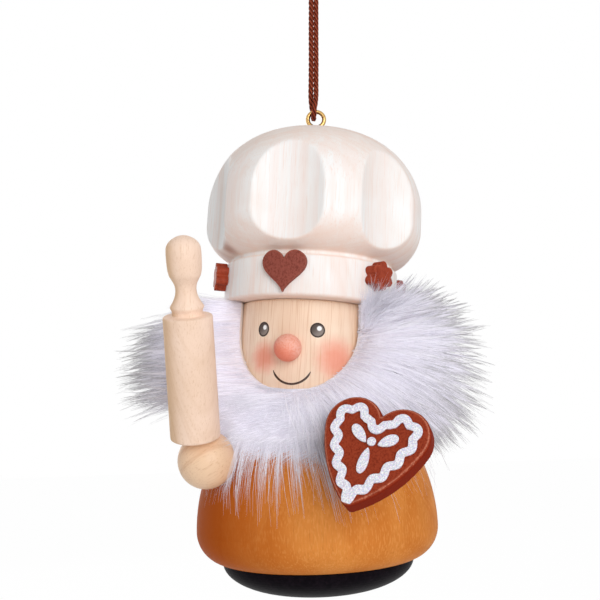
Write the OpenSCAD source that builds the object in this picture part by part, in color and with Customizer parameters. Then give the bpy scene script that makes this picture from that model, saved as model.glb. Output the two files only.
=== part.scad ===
// Hanging gingerbread baker: a turned wooden figure with a fluted chef's hat, a fur beard,
// a rolling pin and an iced gingerbread heart, hung by a doubled cord from a brass screw eye.
// Heights are measured up from the underside of the foot. The finished figure is then moved
// so that the origin is the point where the cord loop bears on its hook. The ring of the screw
// eye faces -Y, and the figure hangs with its face turned a little to one side of that.

/* [Figure] */
// Turn of the whole figure about its axis, from -Y towards +X
figure_turn = -16; // [-20:0.5:-10]

/* [Foot] */
// Radius of the foot at its top
foot_r = 18.7; // [15:0.1:21]
// Height of the foot
foot_h = 5.9; // [4.5:0.1:8]
// Radius of the small flat under the foot
foot_flat_r = 5; // [3:0.1:8]

/* [Body] */
// Largest radius of the body
body_r = 23.7; // [22:0.1:27]
// Height of the body from the foot to the seat of the head
body_h = 29.6; // [27:0.1:32]
// Radius of the rounded lower edge of the body
body_corner_r = 6.1; // [4:0.1:8]
// Radius of the long curve up the side of the body
body_side_r = 31.6; // [29:0.1:36]

/* [Head] */
// Radius of the head
head_r = 14.2; // [12.5:0.1:15]
// Height of the head from the body to the hat
head_h = 19.8; // [17:0.1:24]
// Radius of the rounded lower edge of the head
head_round_r = 1; // [0.5:0.1:2]
// Angle by which head and hat lean
head_lean = 4.8; // [0:0.1:8]
// Turn of the face from the front
face_turn = 3; // [-10:0.5:10]
// Radius of the nose
nose_r = 2.6; // [1.5:0.1:4]
// Height of the nose above the foot of the head
nose_h = 10.2; // [7:0.1:14]
// How far the middle of the nose stands out of the face
nose_out = 1.6; // [0.5:0.1:2]
// Diameter of the nose's peg
nose_peg_d = 1.6; // [1:0.1:2.4]
// Length of the nose's peg in the head
nose_peg_l = 3.5; // [2:0.1:5]

/* [Hat] */
// Radius of the hat band
band_r = 17.7; // [16.5:0.1:19]
// Height of the hat band
band_h = 8.1; // [7:0.1:10]
// Rounding of the band's edges
band_round_r = 0.7; // [0.3:0.1:1.2]
// Height of the groove between band and crown
groove_h = 0.7; // [0.4:0.1:1.2]
// Depth of that groove
groove_d = 1.1; // [0.6:0.1:2]
// Largest radius of the crown
crown_r = 22.4; // [21:0.1:25]
// Height of the crown
crown_h = 29.2; // [27:0.1:34]
// Radius of the crown's lower edge
crown_low_r = 6.5; // [5:0.1:7.5]
// Height of the straight part of the crown's side
crown_side_h = 5.4; // [3:0.1:7]
// Radius of the crown's domed top
crown_top_r = 31.5; // [27:0.1:40]
// Radius of the cutter that makes the flutes
flute_cut_r = 10.5; // [8:0.5:14]
// Depth of a flute at the crown's widest
flute_d = 3; // [2:0.1:3.5]
// Radius of the flutes from top to bottom
flute_long_r = 32; // [22:0.5:60]
// Height of the middle of the flutes above the crown's foot
flute_mid_h = 9.5; // [8:0.1:12]

/* [Hat trim] */
// Width of the heart on the band
trim_heart_w = 8.6; // [6:0.1:9.5]
// Height of the heart on the band
trim_heart_h = 8.1; // [6:0.1:9]
// Thickness of the heart on the band
trim_heart_t = 1; // [0.6:0.1:2]
// Height of the heart above the middle of the band
trim_heart_up = 0.4; // [-0.5:0.1:0.6]
// Size of a star across its lobes
star_d = 5.7; // [4:0.1:7]
// Thickness of a star
star_t = 2.3; // [1:0.1:2.5]
// Height of the stars above the middle of the band
star_up = 1; // [-0.5:0.1:1.2]
// Number of lobes of a star
star_lobe_n = 6; // [5:1:8]

/* [Screw eye] */
// Diameter of the brass wire
eye_wire_d = 0.9; // [0.7:0.05:1.1]
// Diameter of the eye at the middle of its wire
eye_d = 3.5; // [3.2:0.1:4.5]
// Height of the bare neck under the eye
eye_neck_h = 1.5; // [0.5:0.1:2.5]
// Sideways offset of the eye from the hat's axis
eye_off = -0.7; // [-2:0.1:2]
// Angle from the top of the eye to where the cord bears
eye_bear_a = 20; // [0:1:25]
// Diameter of the threaded shank
eye_shank_d = 1.3; // [1:0.1:1.8]
// Length of the threaded shank in the hat
eye_shank_l = 9; // [6:0.5:14]

/* [Hands] */
// Radius of a hand
hand_r = 5.2; // [4:0.1:6]
// Height of the hands above the foot's underside
hand_h = 26.2; // [24:0.1:28]
// Angle of the right hand from the front
right_hand_a = -33; // [-45:0.5:-28]
// Angle of the left hand from the front
left_hand_a = 34; // [28:0.5:45]
// Depth of the flats where a hand meets its neighbours
hand_flat_d = 0.25; // [0.1:0.05:0.6]
// Diameter of a hand's dowel
hand_dowel_d = 2.4; // [1.5:0.1:3]
// Length of a hand's dowel in the hand
hand_dowel_out = 4; // [2:0.1:5]
// Length of a hand's dowel in the body
hand_dowel_in = 6; // [3:0.1:8]

/* [Rolling pin] */
// Diameter of the roller
roller_d = 8.8; // [7:0.1:10]
// Length of the roller
roller_l = 22; // [16:0.5:26]
// Rounding of the roller's ends
roller_round_r = 0.6; // [0.3:0.1:1.2]
// Diameter of the handle's collar
collar_d = 5.9; // [4.5:0.1:7]
// Thickness of the handle's collar
collar_t = 1.4; // [0.8:0.1:2]
// Diameter of the handle's neck
neck_d = 3.5; // [2.5:0.1:4]
// Diameter of the handle's knob
knob_d = 6; // [5:0.1:7]
// Length of the handle beyond the roller
handle_l = 13.8; // [12:0.1:17]
// Lean of the rolling pin
pin_lean = 20; // [10:0.5:28]
// Direction in which the rolling pin leans, from the front towards +X
pin_lean_dir = 16; // [0:1:30]
// Sideways offset of the pin on the hand
pin_off_x = -1.5; // [-2:0.1:2]
// Forward offset of the pin on the hand
pin_off_y = -1.5; // [-2:0.1:2]

/* [Gingerbread heart] */
// Width of the gingerbread heart
cake_w = 18.3; // [16:0.1:19]
// Height of the gingerbread heart
cake_h = 18.2; // [16.5:0.1:19]
// Radius of the heart's two lobes
cake_lobe_r = 4.9; // [4.6:0.05:5.4]
// Radius of the heart's tip
cake_tip_r = 1; // [0.8:0.1:1.8]
// Radius of the long curve down the heart's sides
cake_flank_r = 22; // [20:0.5:40]
// Thickness of the gingerbread heart
cake_t = 3.1; // [2:0.1:4.5]
// Rounding of the gingerbread heart's front edge
cake_round = 0.5; // [0.2:0.1:0.9]
// Turn of the heart's face from the front
cake_turn = -3; // [-12:0.5:12]
// Tilt of the heart's face upwards
cake_tilt = 26; // [15:0.5:30]
// Roll of the heart in its own plane
cake_roll = 18; // [0:1:30]
// Sideways place of the heart's tip from the middle of the hand
cake_off_x = 0.4; // [-1:0.1:3]
// Height of the heart's tip from the middle of the hand
cake_off_y = -11.5; // [-13:0.1:-8]
// Inset of the icing line's middle from the heart's edge
icing_inset = 2.3; // [2:0.05:2.8]
// Width of the icing line
icing_w = 1.4; // [1:0.05:1.8]
// Reach of the icing line's lower end towards the heart's tip
icing_drop = 1.1; // [0:0.1:1.3]
// Height of the icing
icing_t = 0.4; // [0.2:0.05:0.6]
// Depth of the icing line's waves
icing_wave = 0.4; // [0.1:0.02:0.5]
// Number of waves down each side of the heart
icing_wave_n = 7.5; // [5.5:1:9.5]
// Radius of the dot of icing
icing_dot_r = 0.76; // [0.5:0.02:0.8]

/* [Fur] */
// Thickness of the hide
hide_t = 0.9; // [0.5:0.1:1.5]
// Width of the window for the face
face_w = 23.6; // [20:0.1:25]
// Turn of the window from the front
window_turn = 4; // [-10:0.5:10]
// Height of the window's lower end above the foot of the head
face_low_h = 2.1; // [1.8:0.1:5]
// Reach of the fur from its middle
fur_r = 33; // [30:0.1:36]
// Sideways offset of the fur's middle from the axis
fur_off = -2.5; // [-4:0.1:4]
// Reach of the fur in front of the axis, beside the face
fur_front = 19; // [17:0.1:24]
// Lower edge of the fur round the sides
fur_low_h = 27.5; // [26:0.1:31]
// Upper edge of the fur
fur_top_h = 58; // [56:0.1:60]
// Rounding of the fur's outline
fur_round_r = 11; // [8:0.1:13]
// Sideways place where the fur's lower edge starts to rise towards the rolling pin
fur_rise_x = -14; // [-20:0.5:-8]
// Slope of that rise
fur_rise_a = 22; // [10:1:30]
// Lower end of the beard
beard_low_h = 21.5; // [16:0.1:24]
// Thickness of the beard over the body
beard_t = 4; // [3:0.1:6]
// Width of the beard
beard_w = 30; // [24:0.5:34]
// Half the flare of the fur round the face
face_flare_a = 30; // [10:1:35]
// Clear edge between the window in the hide and the fur
face_edge = 0.8; // [0.3:0.1:2]

/* [Dowels] */
// Diameter of the foot, neck and hat dowels
dowel_d = 6; // [4:0.1:8]
// Length of the foot dowel in the foot
foot_dowel_l = 3.6; // [2:0.1:4]
// Length of the foot dowel in the body
body_dowel_l = 7; // [4:0.1:10]
// Length of the neck dowel on each side of its joint
neck_dowel_l = 7; // [4:0.1:9]
// Length of the hat dowel on each side of its joint
hat_dowel_l = 7; // [4:0.1:9]

/* [Cord] */
// Diameter of the cord
cord_d = 1; // [0.7:0.05:1.05]
// Radius of the knot
knot_r = 1.9; // [1.4:0.1:2.4]
// Length of the knot's two tails
tail_l = 4.5; // [2:0.1:8]

/* [Clearances] */
// Glue clearance round a peg or dowel
glue_gap = 0.05; // [0.02:0.01:0.1]
// Depth of a bore beyond the end of its dowel
bore_end_gap = 0.4; // [0.2:0.1:1]
// Clearance of the fur from what it lies against
fur_gap = 0.3; // [0.2:0.05:0.6]

/* [Hidden] */
STAR_N = 5;
$fn = 96;
// Larger than the whole figure, for cuts that pass right through
BIG = 200;
// A cut runs this far past the face that it leaves
PAST = 1;

// Heights of the seats, up from the underside of the foot
belly_z = foot_h + body_corner_r;
seat_z = foot_h + body_h;
hat_z = seat_z + head_h;
groove_z = hat_z + band_h;
crown_z = groove_z + groove_h;
hat_top_z = crown_z + crown_h;
eye_z = hat_top_z + eye_neck_h + eye_d / 2;

// The body's long side curve has its centre here
body_arc_x = body_r - body_side_r;
// How far the tilted seat can rise above its middle
seat_rise = body_r * tan(head_lean);

// The hands sit along the normal of the body's side curve
hand_reach = body_side_r + hand_r - hand_flat_d;
hand_rise_a = asin((hand_h - belly_z) / hand_reach);
hand_x = body_arc_x + hand_reach * cos(hand_rise_a);

// The crown's side arc blends the straight side into the domed top
crown_side_z = crown_z + crown_low_r + crown_side_h;
crown_dome_z = hat_top_z - crown_top_r;
crown_arc_z = crown_side_z - crown_dome_z;
crown_arc_r = (pow(crown_top_r, 2) - pow(crown_r, 2) - pow(crown_arc_z, 2))
    / (2 * (crown_top_r - crown_r));
crown_arc_x = crown_r - crown_arc_r;
crown_tangent_x = crown_arc_x * crown_top_r / (crown_top_r - crown_arc_r);

// Angles of the flutes from the front, cut by eye and so not quite even
flute_angles = [2.5, 57.7, 113, 178, 243, 307.5];

// The cord bears on its hook above and to one side of where it bears on the eye
hang_from_eye = [1.1, 0, 35];
bear_x = eye_off - eye_d / 2 * sin(eye_bear_a);
bear_z = eye_z - hat_z + eye_d / 2 * cos(eye_bear_a);
eye_bearing = [
    bear_x * cos(head_lean) + bear_z * sin(head_lean),
    0,
    hat_z - bear_x * sin(head_lean) + bear_z * cos(head_lean)];
hang_point = eye_bearing + hang_from_eye;

// Route of the cord from one end in the knot, down through the eye and back up
cord_route = [
    [-0.5, 0, 1.6], [-1.4, 0, 0.2], [-2.3, 0, -1.7], [-2.4, 0, -3.6], [-1.7, 0, -5.6], [-0.85, 0, -7.4],
    [-0.75, 0, -10], [-0.9, 0, -14], [-1.07, 0, -19], [-1.23, 0, -24], [-1.4, 0, -28],
    [-1.54, 0.3, -31], [-1.45, 1, -33.2], [-1.2, 1.34, -35],
    [-1.18, 1.15, -35.72], [-1.14, 0.65, -36.23], [-1.1, 0, -36.42],
    [-1.06, -0.65, -36.23], [-1.02, -1.15, -35.72], [-1, -1.34, -35],
    [-0.65, -1, -33.2], [-0.43, -0.3, -31], [-0.33, 0, -28], [-0.16, 0, -24], [0, 0, -19],
    [0.17, 0, -14], [0.32, 0, -10], [0.5, 0, -7.4], [1.5, 0, -5.6], [2.3, 0, -3.6], [2.3, 0, -1.7],
    [1.4, 0, 0.2], [0.5, 0, 1.6]];
CORD_SIDES = 8;
knot_z = 2.2;
// Spread of the knot's tails from upright
tail_a = 24;

WOOD = "BlanchedAlmond";
BEECH = "Wheat";
STAIN = "Peru";
GINGER = "Sienna";

// Puts a piece made in the bench frame under the hanging point
module hung() {
    translate(-hang_point)
        rotate([0, 0, figure_turn])
            children();
}

// Leans a piece about the middle of the hat's seat, towards +X of the finished part
module leaned() {
    translate([0, 0, hat_z])
        rotate([0, 0, -figure_turn])
            rotate([0, head_lean, 0])
                rotate([0, 0, figure_turn])
                    translate([0, 0, -hat_z])
                        children();
}

module on_head() {
    hung() leaned() children();
}

// A hand's own frame: its centre, with +Z straight out of the body
module at_hand(a) {
    rotate([0, 0, a])
        translate([0, -hand_x, hand_h])
            rotate([90 - hand_rise_a, 0, 0])
                children();
}

// The right hand's centre, with +Z along the rolling pin
module at_pin() {
    rotate([0, 0, right_hand_a])
        translate([0, -hand_x, hand_h])
            rotate([0, 0, pin_lean_dir - right_hand_a])
                rotate([pin_lean, 0, 0])
                    children();
}

// The left hand's centre, with +Z out of the gingerbread heart's face and +Y up
module at_cake() {
    rotate([0, 0, left_hand_a])
        translate([0, -hand_x, hand_h])
            rotate([0, 0, cake_turn - left_hand_a])
                rotate([90 - cake_tilt, 0, 0])
                    children();
}

// A quarter of the plane, right of the axis
module right_half(low, high) {
    translate([0, low]) square([BIG, high - low]);
}

// A disc with its rim rounded at one or both ends, drawn beside the axis
module rounded_side(r, low, high, round_low, round_high) {
    translate([0, low + round_low]) square([r, high - low - round_low - round_high]);
    translate([0, low]) square([r - round_low, high - low]);
    intersection() {
        union() {
            translate([r - round_low, low + round_low]) circle(round_low);
            translate([r - round_high, high - round_high]) circle(round_high);
        }
        right_half(low, high);
    }
}

// The foot's rounded side, from its flat up to its top
function foot_side(steps = 18) = [
    for (i = [0:steps])
        let (a = 90 * i / steps)
        [foot_flat_r + (foot_r - foot_flat_r) * sin(a), foot_h * (1 - cos(a))]];

// Half of the body's turned outline, grown all round by a margin
module body_outline(grow = 0) {
    top = seat_z + seat_rise;
    intersection() {
        translate([body_arc_x, belly_z]) circle(body_side_r + grow);
        right_half(belly_z, top);
    }
    translate([0, foot_h - grow]) square([body_r - body_corner_r, body_corner_r + 2 * grow]);
    intersection() {
        translate([body_r - body_corner_r, belly_z]) circle(body_corner_r + grow);
        right_half(foot_h - grow, belly_z + grow);
    }
}

// Half of the hat's turned outline
module hat_outline() {
    rounded_side(band_r, hat_z, groove_z, band_round_r, band_round_r);
    translate([0, groove_z - PAST]) square([band_r - groove_d, groove_h + 2 * PAST]);
    // Rounded lower edge of the crown
    intersection() {
        translate([crown_r - crown_low_r, crown_z + crown_low_r]) circle(crown_low_r);
        right_half(crown_z, crown_z + crown_low_r);
    }
    translate([0, crown_z]) square([crown_r - crown_low_r, crown_low_r]);
    translate([0, crown_z + crown_low_r]) square([crown_r, crown_side_h]);
    // Shoulder and dome
    intersection() {
        translate([crown_arc_x, crown_side_z]) circle(crown_arc_r);
        translate([crown_tangent_x, crown_side_z]) square(BIG);
    }
    intersection() {
        translate([0, crown_dome_z]) circle(crown_top_r);
        translate([0, crown_side_z]) square([crown_tangent_x, BIG]);
    }
}

// Heart curve of unit width and height, point down, about its middle
HEART_STEPS = 64;
function heart_point(a) = [
    pow(sin(a), 3) / 2,
    (13 * cos(a) - 5 * cos(2 * a) - 2 * cos(3 * a) - cos(4 * a) + 2.5) / 29];
function heart_curve(w, h, steps = HEART_STEPS) = [
    for (i = [0:steps - 1])
        let (p = heart_point(360 * (i + 0.5) / steps))
        [p.x * w, p.y * h]];

// Six-lobed star, its round lobes meeting in sharp gaps
STAR_STEPS = 72;
star_gap = 0.14;
function star_curve(d) = [
    for (i = [0:STAR_STEPS - 1])
        let (a = 360 * i / STAR_STEPS, r = d / 2 * (1 - 2 * star_gap * (1 - abs(cos(star_lobe_n * a / 2)))))
        [r * sin(a), r * cos(a)]];

// Outline of the gingerbread heart, from its tip upwards: two lobes, a round tip, and a long
// curve down each side that runs smoothly into both
cake_lobe = [cake_w / 2 - cake_lobe_r, cake_h - cake_lobe_r];
cake_tip = [0, cake_tip_r];
cake_notch = [0, cake_lobe.y + sqrt(pow(cake_lobe_r, 2) - pow(cake_lobe.x, 2))];
lobe_reach = cake_flank_r - cake_lobe_r;
tip_reach = cake_flank_r - cake_tip_r;
lobe_way = cake_lobe - cake_tip;
lobe_far = norm(lobe_way);
flank_along = (pow(tip_reach, 2) - pow(lobe_reach, 2) + pow(lobe_far, 2)) / (2 * lobe_far);
flank_aside = sqrt(pow(tip_reach, 2) - pow(flank_along, 2));
cake_flank = cake_tip + (flank_along * lobe_way + flank_aside * [-lobe_way.y, lobe_way.x]) / lobe_far;
// Heights, per unit of grown radius, at which the curves meet
lobe_dip = (cake_flank.y - cake_lobe.y) / lobe_reach;
tip_dip = (cake_flank.y - cake_tip.y) / tip_reach;

CAKE_STEPS = 3;
module cake_outline(grow = 0) {
    low = cake_tip.y - (cake_tip_r + grow) * tip_dip;
    high = cake_lobe.y - (cake_lobe_r + grow) * lobe_dip;
    translate(cake_tip) circle(cake_tip_r + grow);
    for (s = [-1, 1])
        translate([s * cake_lobe.x, cake_lobe.y]) circle(cake_lobe_r + grow);
    intersection() {
        translate(cake_flank) circle(cake_flank_r + grow);
        translate([-cake_flank.x, cake_flank.y]) circle(cake_flank_r + grow);
        translate([-BIG / 2, low]) square([BIG, high - low]);
    }
}

// Runs of the icing line's right half: points with the way out of the heart at each
function run(c, r, from, to, out, steps) = [
    for (i = [0:steps])
        let (a = from + (to - from) * i / steps, way = [cos(a), sin(a)])
        [c + r * way, out * way]];
FLANK_STEPS = 66;
notch_a = atan2(cake_lobe.y - cake_notch.y, cake_lobe.x);
meet_a = -asin(lobe_dip);
icing_end_a = -acos(-cake_flank.x / (cake_flank_r - icing_inset + icing_drop));
icing_run = concat(
    run(cake_notch, icing_inset, -90, notch_a, -1, 12),
    run(cake_lobe, cake_lobe_r - icing_inset, 180 + notch_a, meet_a, 1, 40),
    [for (i = [0:FLANK_STEPS])
        let (share = i / FLANK_STEPS, a = meet_a + (icing_end_a - meet_a) * share, way = [cos(a), sin(a)])
        [cake_flank + (cake_flank_r - icing_inset + icing_drop * pow(share, 3)) * way, way]]);
icing_lengths = [
    for (i = 0, l = 0; i < len(icing_run);
        l = l + norm(icing_run[min(i + 1, len(icing_run) - 1)][0] - icing_run[i][0]), i = i + 1)
        l];
icing_l = icing_lengths[len(icing_run) - 1];
// One half of an edge of the icing line, out of the heart or into it: round waves, even along the
// line, that start from the notch as a drip
function icing_half(out) = [
    for (i = [0:len(icing_run) - 1])
        let (a = 180 * icing_wave_n * icing_lengths[i] / icing_l,
            crest = out > 0 ? abs(sin(a)) : abs(cos(a)))
        icing_run[i][0] + out * (icing_w / 2 + icing_wave * (2 * crest - 1)) * icing_run[i][1]];
function icing_ring(out) =
    let (half = [for (p = icing_half(out)) if (p.x > 0.05) p])
    concat(half, [for (i = [len(half) - 1:-1:0]) [-half[i].x, half[i].y]]);

// A petal of icing from its point to its round end
PETAL_STEPS = 24;
function petal_curve(l, w) = [
    for (i = [0:PETAL_STEPS - 1])
        let (a = 360 * i / PETAL_STEPS)
        [w / 2 * sin(a) * pow(sin(a / 2), 0.5), l / 2 * (1 - cos(a))]];
// Angle, length and width of each petal round the dot, and the place of its point
petals = [
    [53, 3.9, 2.1, [-0.9, -0.4]],
    [-52, 3.6, 2.2, [1.2, -0.3]],
    [182, 4.5, 2, [-0.1, -1.1]]];
icing_flower = [0.15, 11];

module foot() {
    color("#1c1a1a")
        hung()
            difference() {
                rotate_extrude()
                    polygon(concat([[0, 0]], foot_side(), [[0, foot_h]]));
                translate([0, 0, foot_h - foot_dowel_l - bore_end_gap])
                    cylinder(d = dowel_d + 2 * glue_gap, h = foot_h);
            }
}

module body_solid() {
    difference() {
        rotate_extrude() body_outline();
        // Seat for the leaning head
        leaned()
            translate([-BIG / 2, -BIG / 2, seat_z])
                cube([BIG, BIG, BIG]);
        leaned()
            translate([0, 0, seat_z - neck_dowel_l - bore_end_gap])
                cylinder(d = dowel_d + 2 * glue_gap, h = neck_dowel_l + bore_end_gap + PAST);
        translate([0, 0, foot_h - PAST])
            cylinder(d = dowel_d + 2 * glue_gap, h = body_dowel_l + bore_end_gap + PAST);
        for (a = [right_hand_a, left_hand_a])
            at_hand(a)
                translate([0, 0, -hand_r - hand_dowel_in - bore_end_gap])
                    cylinder(d = hand_dowel_d + 2 * glue_gap, h = hand_r + hand_dowel_in + bore_end_gap);
    }
}

module body() {
    color(STAIN) hung() body_solid();
}

// A nose or its bore points out of the face from the head's axis
module at_nose() {
    rotate([0, 0, face_turn])
        translate([0, 0, seat_z + nose_h])
            rotate([90, 0, 0])
                children();
}

module head() {
    color(WOOD)
        on_head()
            difference() {
                rotate_extrude()
                    rounded_side(head_r, seat_z, hat_z, head_round_r, band_round_r);
                translate([0, 0, seat_z - PAST])
                    cylinder(d = dowel_d + 2 * glue_gap, h = neck_dowel_l + bore_end_gap + PAST);
                translate([0, 0, hat_z - hat_dowel_l - bore_end_gap])
                    cylinder(d = dowel_d + 2 * glue_gap, h = hat_dowel_l + bore_end_gap + PAST);
                at_nose()
                    translate([0, 0, head_r - nose_peg_l - bore_end_gap])
                        cylinder(d = nose_peg_d + 2 * glue_gap, h = nose_peg_l + bore_end_gap + PAST);
            }
}

module nose() {
    color("Salmon")
        on_head() {
            difference() {
                at_nose()
                    translate([0, 0, head_r + nose_out])
                        sphere(nose_r);
                translate([0, 0, seat_z])
                    cylinder(r = head_r, h = head_h);
            }
            at_nose()
                translate([0, 0, head_r - nose_peg_l])
                    cylinder(d = nose_peg_d, h = nose_peg_l + nose_out);
        }
}

// Barrel that cuts a flute as a long oval
module flute_cutter() {
    rotate_extrude()
        intersection() {
            translate([flute_cut_r - flute_long_r, 0]) circle(flute_long_r);
            translate([0, -crown_h / 2]) square([flute_cut_r, crown_h]);
        }
}

module hat() {
    color(WOOD)
        on_head()
            difference() {
                // The seam of the turned solid falls in the first flute
                rotate([0, 0, flute_angles[0] - 90])
                    rotate_extrude() hat_outline();
                for (a = flute_angles)
                    rotate([0, 0, a])
                        translate([0, flute_d - crown_r - flute_cut_r, crown_z + flute_mid_h])
                            flute_cutter();
                translate([0, 0, hat_z - PAST])
                    cylinder(d = dowel_d + 2 * glue_gap, h = hat_dowel_l + bore_end_gap + PAST);
                at_eye()
                    translate([0, 0, hat_top_z - eye_shank_l - bore_end_gap])
                        cylinder(d = eye_shank_d + 2 * glue_gap, h = eye_shank_l + bore_end_gap + PAST);
            }
}

// The screw eye's own axis, with its ring facing -Y of the finished part
module at_eye() {
    rotate([0, 0, -figure_turn])
        translate([eye_off, 0, 0])
            children();
}

// A piece of trim cut to an outline, its back bent to the hat band
module on_band(a, up) {
    rotate([0, 0, a])
        translate([0, 0, hat_z + band_h / 2 + up])
            rotate([90, 0, 0])
                children();
}

module hat_heart() {
    color("SaddleBrown")
        on_head()
            intersection() {
                on_band(0, trim_heart_up)
                    linear_extrude(BIG)
                        polygon(heart_curve(trim_heart_w, trim_heart_h));
                difference() {
                    translate([0, 0, hat_z - PAST])
                        cylinder(r = band_r + trim_heart_t, h = band_h + 2 * PAST);
                    translate([0, 0, hat_z - 2 * PAST])
                        cylinder(r = band_r, h = band_h + 4 * PAST);
                }
            }
}

module hat_star(i) {
    color("Chocolate")
        on_head()
            difference() {
                on_band(60 * i, star_up)
                    linear_extrude(band_r + star_t)
                        polygon(star_curve(star_d));
                translate([0, 0, hat_z - PAST])
                    cylinder(r = band_r, h = band_h + 2 * PAST);
            }
}

module screw_eye() {
    color("Goldenrod")
        on_head()
            at_eye() {
                translate([0, 0, eye_z])
                    rotate([90, 0, 0])
                        rotate_extrude()
                            translate([eye_d / 2, 0]) circle(d = eye_wire_d);
                translate([0, 0, hat_top_z - eye_shank_l])
                    cylinder(d = eye_shank_d, h = eye_shank_l);
                translate([0, 0, hat_top_z - PAST])
                    cylinder(d = eye_wire_d, h = eye_neck_h + PAST);
            }
}

// Turned ball with a dowel hole and a flat against the body
module hand_solid(a) {
    at_hand(a)
        difference() {
            sphere(hand_r);
            translate([-hand_r, -hand_r, hand_flat_d - 2 * hand_r])
                cube([2 * hand_r, 2 * hand_r, hand_r]);
            translate([0, 0, -hand_r - PAST])
                cylinder(d = hand_dowel_d + 2 * glue_gap, h = hand_dowel_out + bore_end_gap + PAST);
        }
}

// The half space beyond a hand's flat
module flat_cut() {
    translate([-hand_r, -hand_r, hand_r - hand_flat_d])
        cube([2 * hand_r, 2 * hand_r, hand_r]);
}

module right_hand() {
    color(BEECH)
        hung()
            difference() {
                hand_solid(right_hand_a);
                at_pin() flat_cut();
            }
}

module left_hand() {
    color(BEECH)
        hung()
            difference() {
                hand_solid(left_hand_a);
                at_cake() flat_cut();
            }
}

module hand_dowel(a) {
    color(WOOD)
        hung()
            at_hand(a)
                translate([0, 0, hand_flat_d - hand_r - hand_dowel_in])
                    cylinder(d = hand_dowel_d, h = hand_dowel_in + hand_dowel_out - hand_flat_d);
}

// Half of the rolling pin's turned outline, from its lower end
module pin_outline() {
    knob_r = knob_d / 2;
    knob_z = roller_l + handle_l - knob_r;
    collar_z = roller_l + collar_t / 2;
    rounded_side(roller_d / 2, 0, roller_l, roller_round_r, roller_round_r);
    translate([0, roller_l - PAST]) square([neck_d / 2, knob_z - roller_l + PAST]);
    // Collar with a round rim
    translate([0, roller_l]) square([(collar_d - collar_t) / 2, collar_t]);
    intersection() {
        translate([(collar_d - collar_t) / 2, collar_z]) circle(d = collar_t);
        right_half(roller_l, roller_l + collar_t);
    }
    intersection() {
        translate([0, knob_z]) circle(knob_r);
        right_half(roller_l, BIG);
    }
    // The handle swells from its neck to the knob
    polygon([
        [0, collar_z], [neck_d / 2, roller_l + collar_t], [neck_d / 2, roller_l + collar_t + 2.4],
        [knob_r * 0.985, knob_z - knob_r * 0.17], [0, knob_z]]);
}

module rolling_pin() {
    color(BEECH)
        hung()
            at_pin()
                translate([pin_off_x, pin_off_y, hand_r - hand_flat_d])
                    rotate_extrude() pin_outline();
}

// The gingerbread heart's own frame, on the back of the heart
module on_cake() {
    at_cake()
        translate([cake_off_x, cake_off_y, hand_r - hand_flat_d])
            rotate([0, 0, -cake_roll])
                children();
}

module gingerbread_heart() {
    color(GINGER)
        hung()
            on_cake() {
                // The front edge is rounded in fine steps
                for (a = [0:90 / CAKE_STEPS:90])
                    linear_extrude(cake_t - cake_round * (1 - sin(a)))
                        cake_outline(-cake_round * (1 - cos(a)));
            }
}

module heart_icing() {
    color("White")
        hung()
            on_cake()
                translate([0, 0, cake_t])
                    linear_extrude(icing_t) {
                        difference() {
                            polygon(icing_ring(1));
                            polygon(icing_ring(-1));
                        }
                        translate(icing_flower) {
                            circle(icing_dot_r);
                            for (p = petals)
                                translate(p[3])
                                    rotate(p[0])
                                        polygon(petal_curve(p[1], p[2]));
                        }
                    }
}

// Outline of the window for the face, drawn with Y up
module face_window(w) {
    low = seat_z + face_low_h;
    translate([0, low + face_w / 2]) circle(d = w);
    translate([-w / 2, low + face_w / 2]) square([w, BIG]);
}

module fur_hide() {
    color("AntiqueWhite")
        on_head()
            difference() {
                translate([0, 0, seat_z + head_round_r])
                    cylinder(r = head_r + hide_t, h = head_h - head_round_r - fur_gap);
                translate([0, 0, seat_z])
                    cylinder(r = head_r + glue_gap, h = head_h);
                rotate([0, 0, window_turn])
                    rotate([90, 0, 0])
                        linear_extrude(BIG)
                            face_window(face_w);
            }
}

// Half of the fur's outline round the head
module fur_outline() {
    inner = fur_r - 2 * fur_round_r;
    translate([0, fur_low_h]) square([fur_r - fur_round_r, fur_top_h - fur_low_h]);
    translate([0, fur_low_h + fur_round_r]) square([fur_r, fur_top_h - fur_low_h - 2 * fur_round_r]);
    for (z = [fur_low_h, fur_top_h - 2 * fur_round_r])
        translate([inner, z])
            intersection() {
                translate([fur_round_r, fur_round_r]) circle(fur_round_r);
                square([2 * fur_round_r, 2 * fur_round_r]);
            }
}

// The fur before anything is cleared out of it
module fur_solid() {
    intersection() {
        leaned()
            rotate([0, 0, -figure_turn])
                difference() {
                    translate([fur_off, 0, 0])
                        rotate_extrude() fur_outline();
                    translate([fur_rise_x, 0, fur_low_h])
                        rotate([0, fur_rise_a, 0])
                            translate([-BIG, -BIG / 2, -BIG])
                                cube(BIG);
                }
        // Combed back from the face
        rotate([0, 0, window_turn])
            translate([-BIG / 2, -fur_front, 0])
                cube(BIG);
    }
    intersection() {
        rotate_extrude() body_outline(fur_gap + beard_t);
        // The beard narrows to a round end
        rotate([0, 0, window_turn])
            translate([0, 0, beard_low_h + beard_w / 2])
                rotate([90, 0, 0])
                    cylinder(d = beard_w, h = BIG);
        translate([-BIG / 2, -BIG / 2, 0])
            cube([BIG, BIG, seat_z - fur_gap]);
    }
}

// Flared opening for the face, and room for the head, its hide and the hat's band
module fur_head_room() {
    face_mid_z = seat_z + face_low_h + face_w / 2;
    edge_r = face_w / 2 + face_edge;
    leaned() {
        cylinder(r = head_r + hide_t + fur_gap, h = hat_z + band_h);
        translate([0, 0, hat_z - fur_gap])
            cylinder(r = band_r + star_t + fur_gap, h = band_h);
        rotate([0, 0, window_turn])
            translate([0, 0, face_mid_z])
                rotate([90, 0, 0])
                    cylinder(r1 = edge_r - head_r * tan(face_flare_a),
                        r2 = edge_r + (2 * fur_r - head_r) * tan(face_flare_a),
                        h = 2 * fur_r);
    }
}

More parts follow.
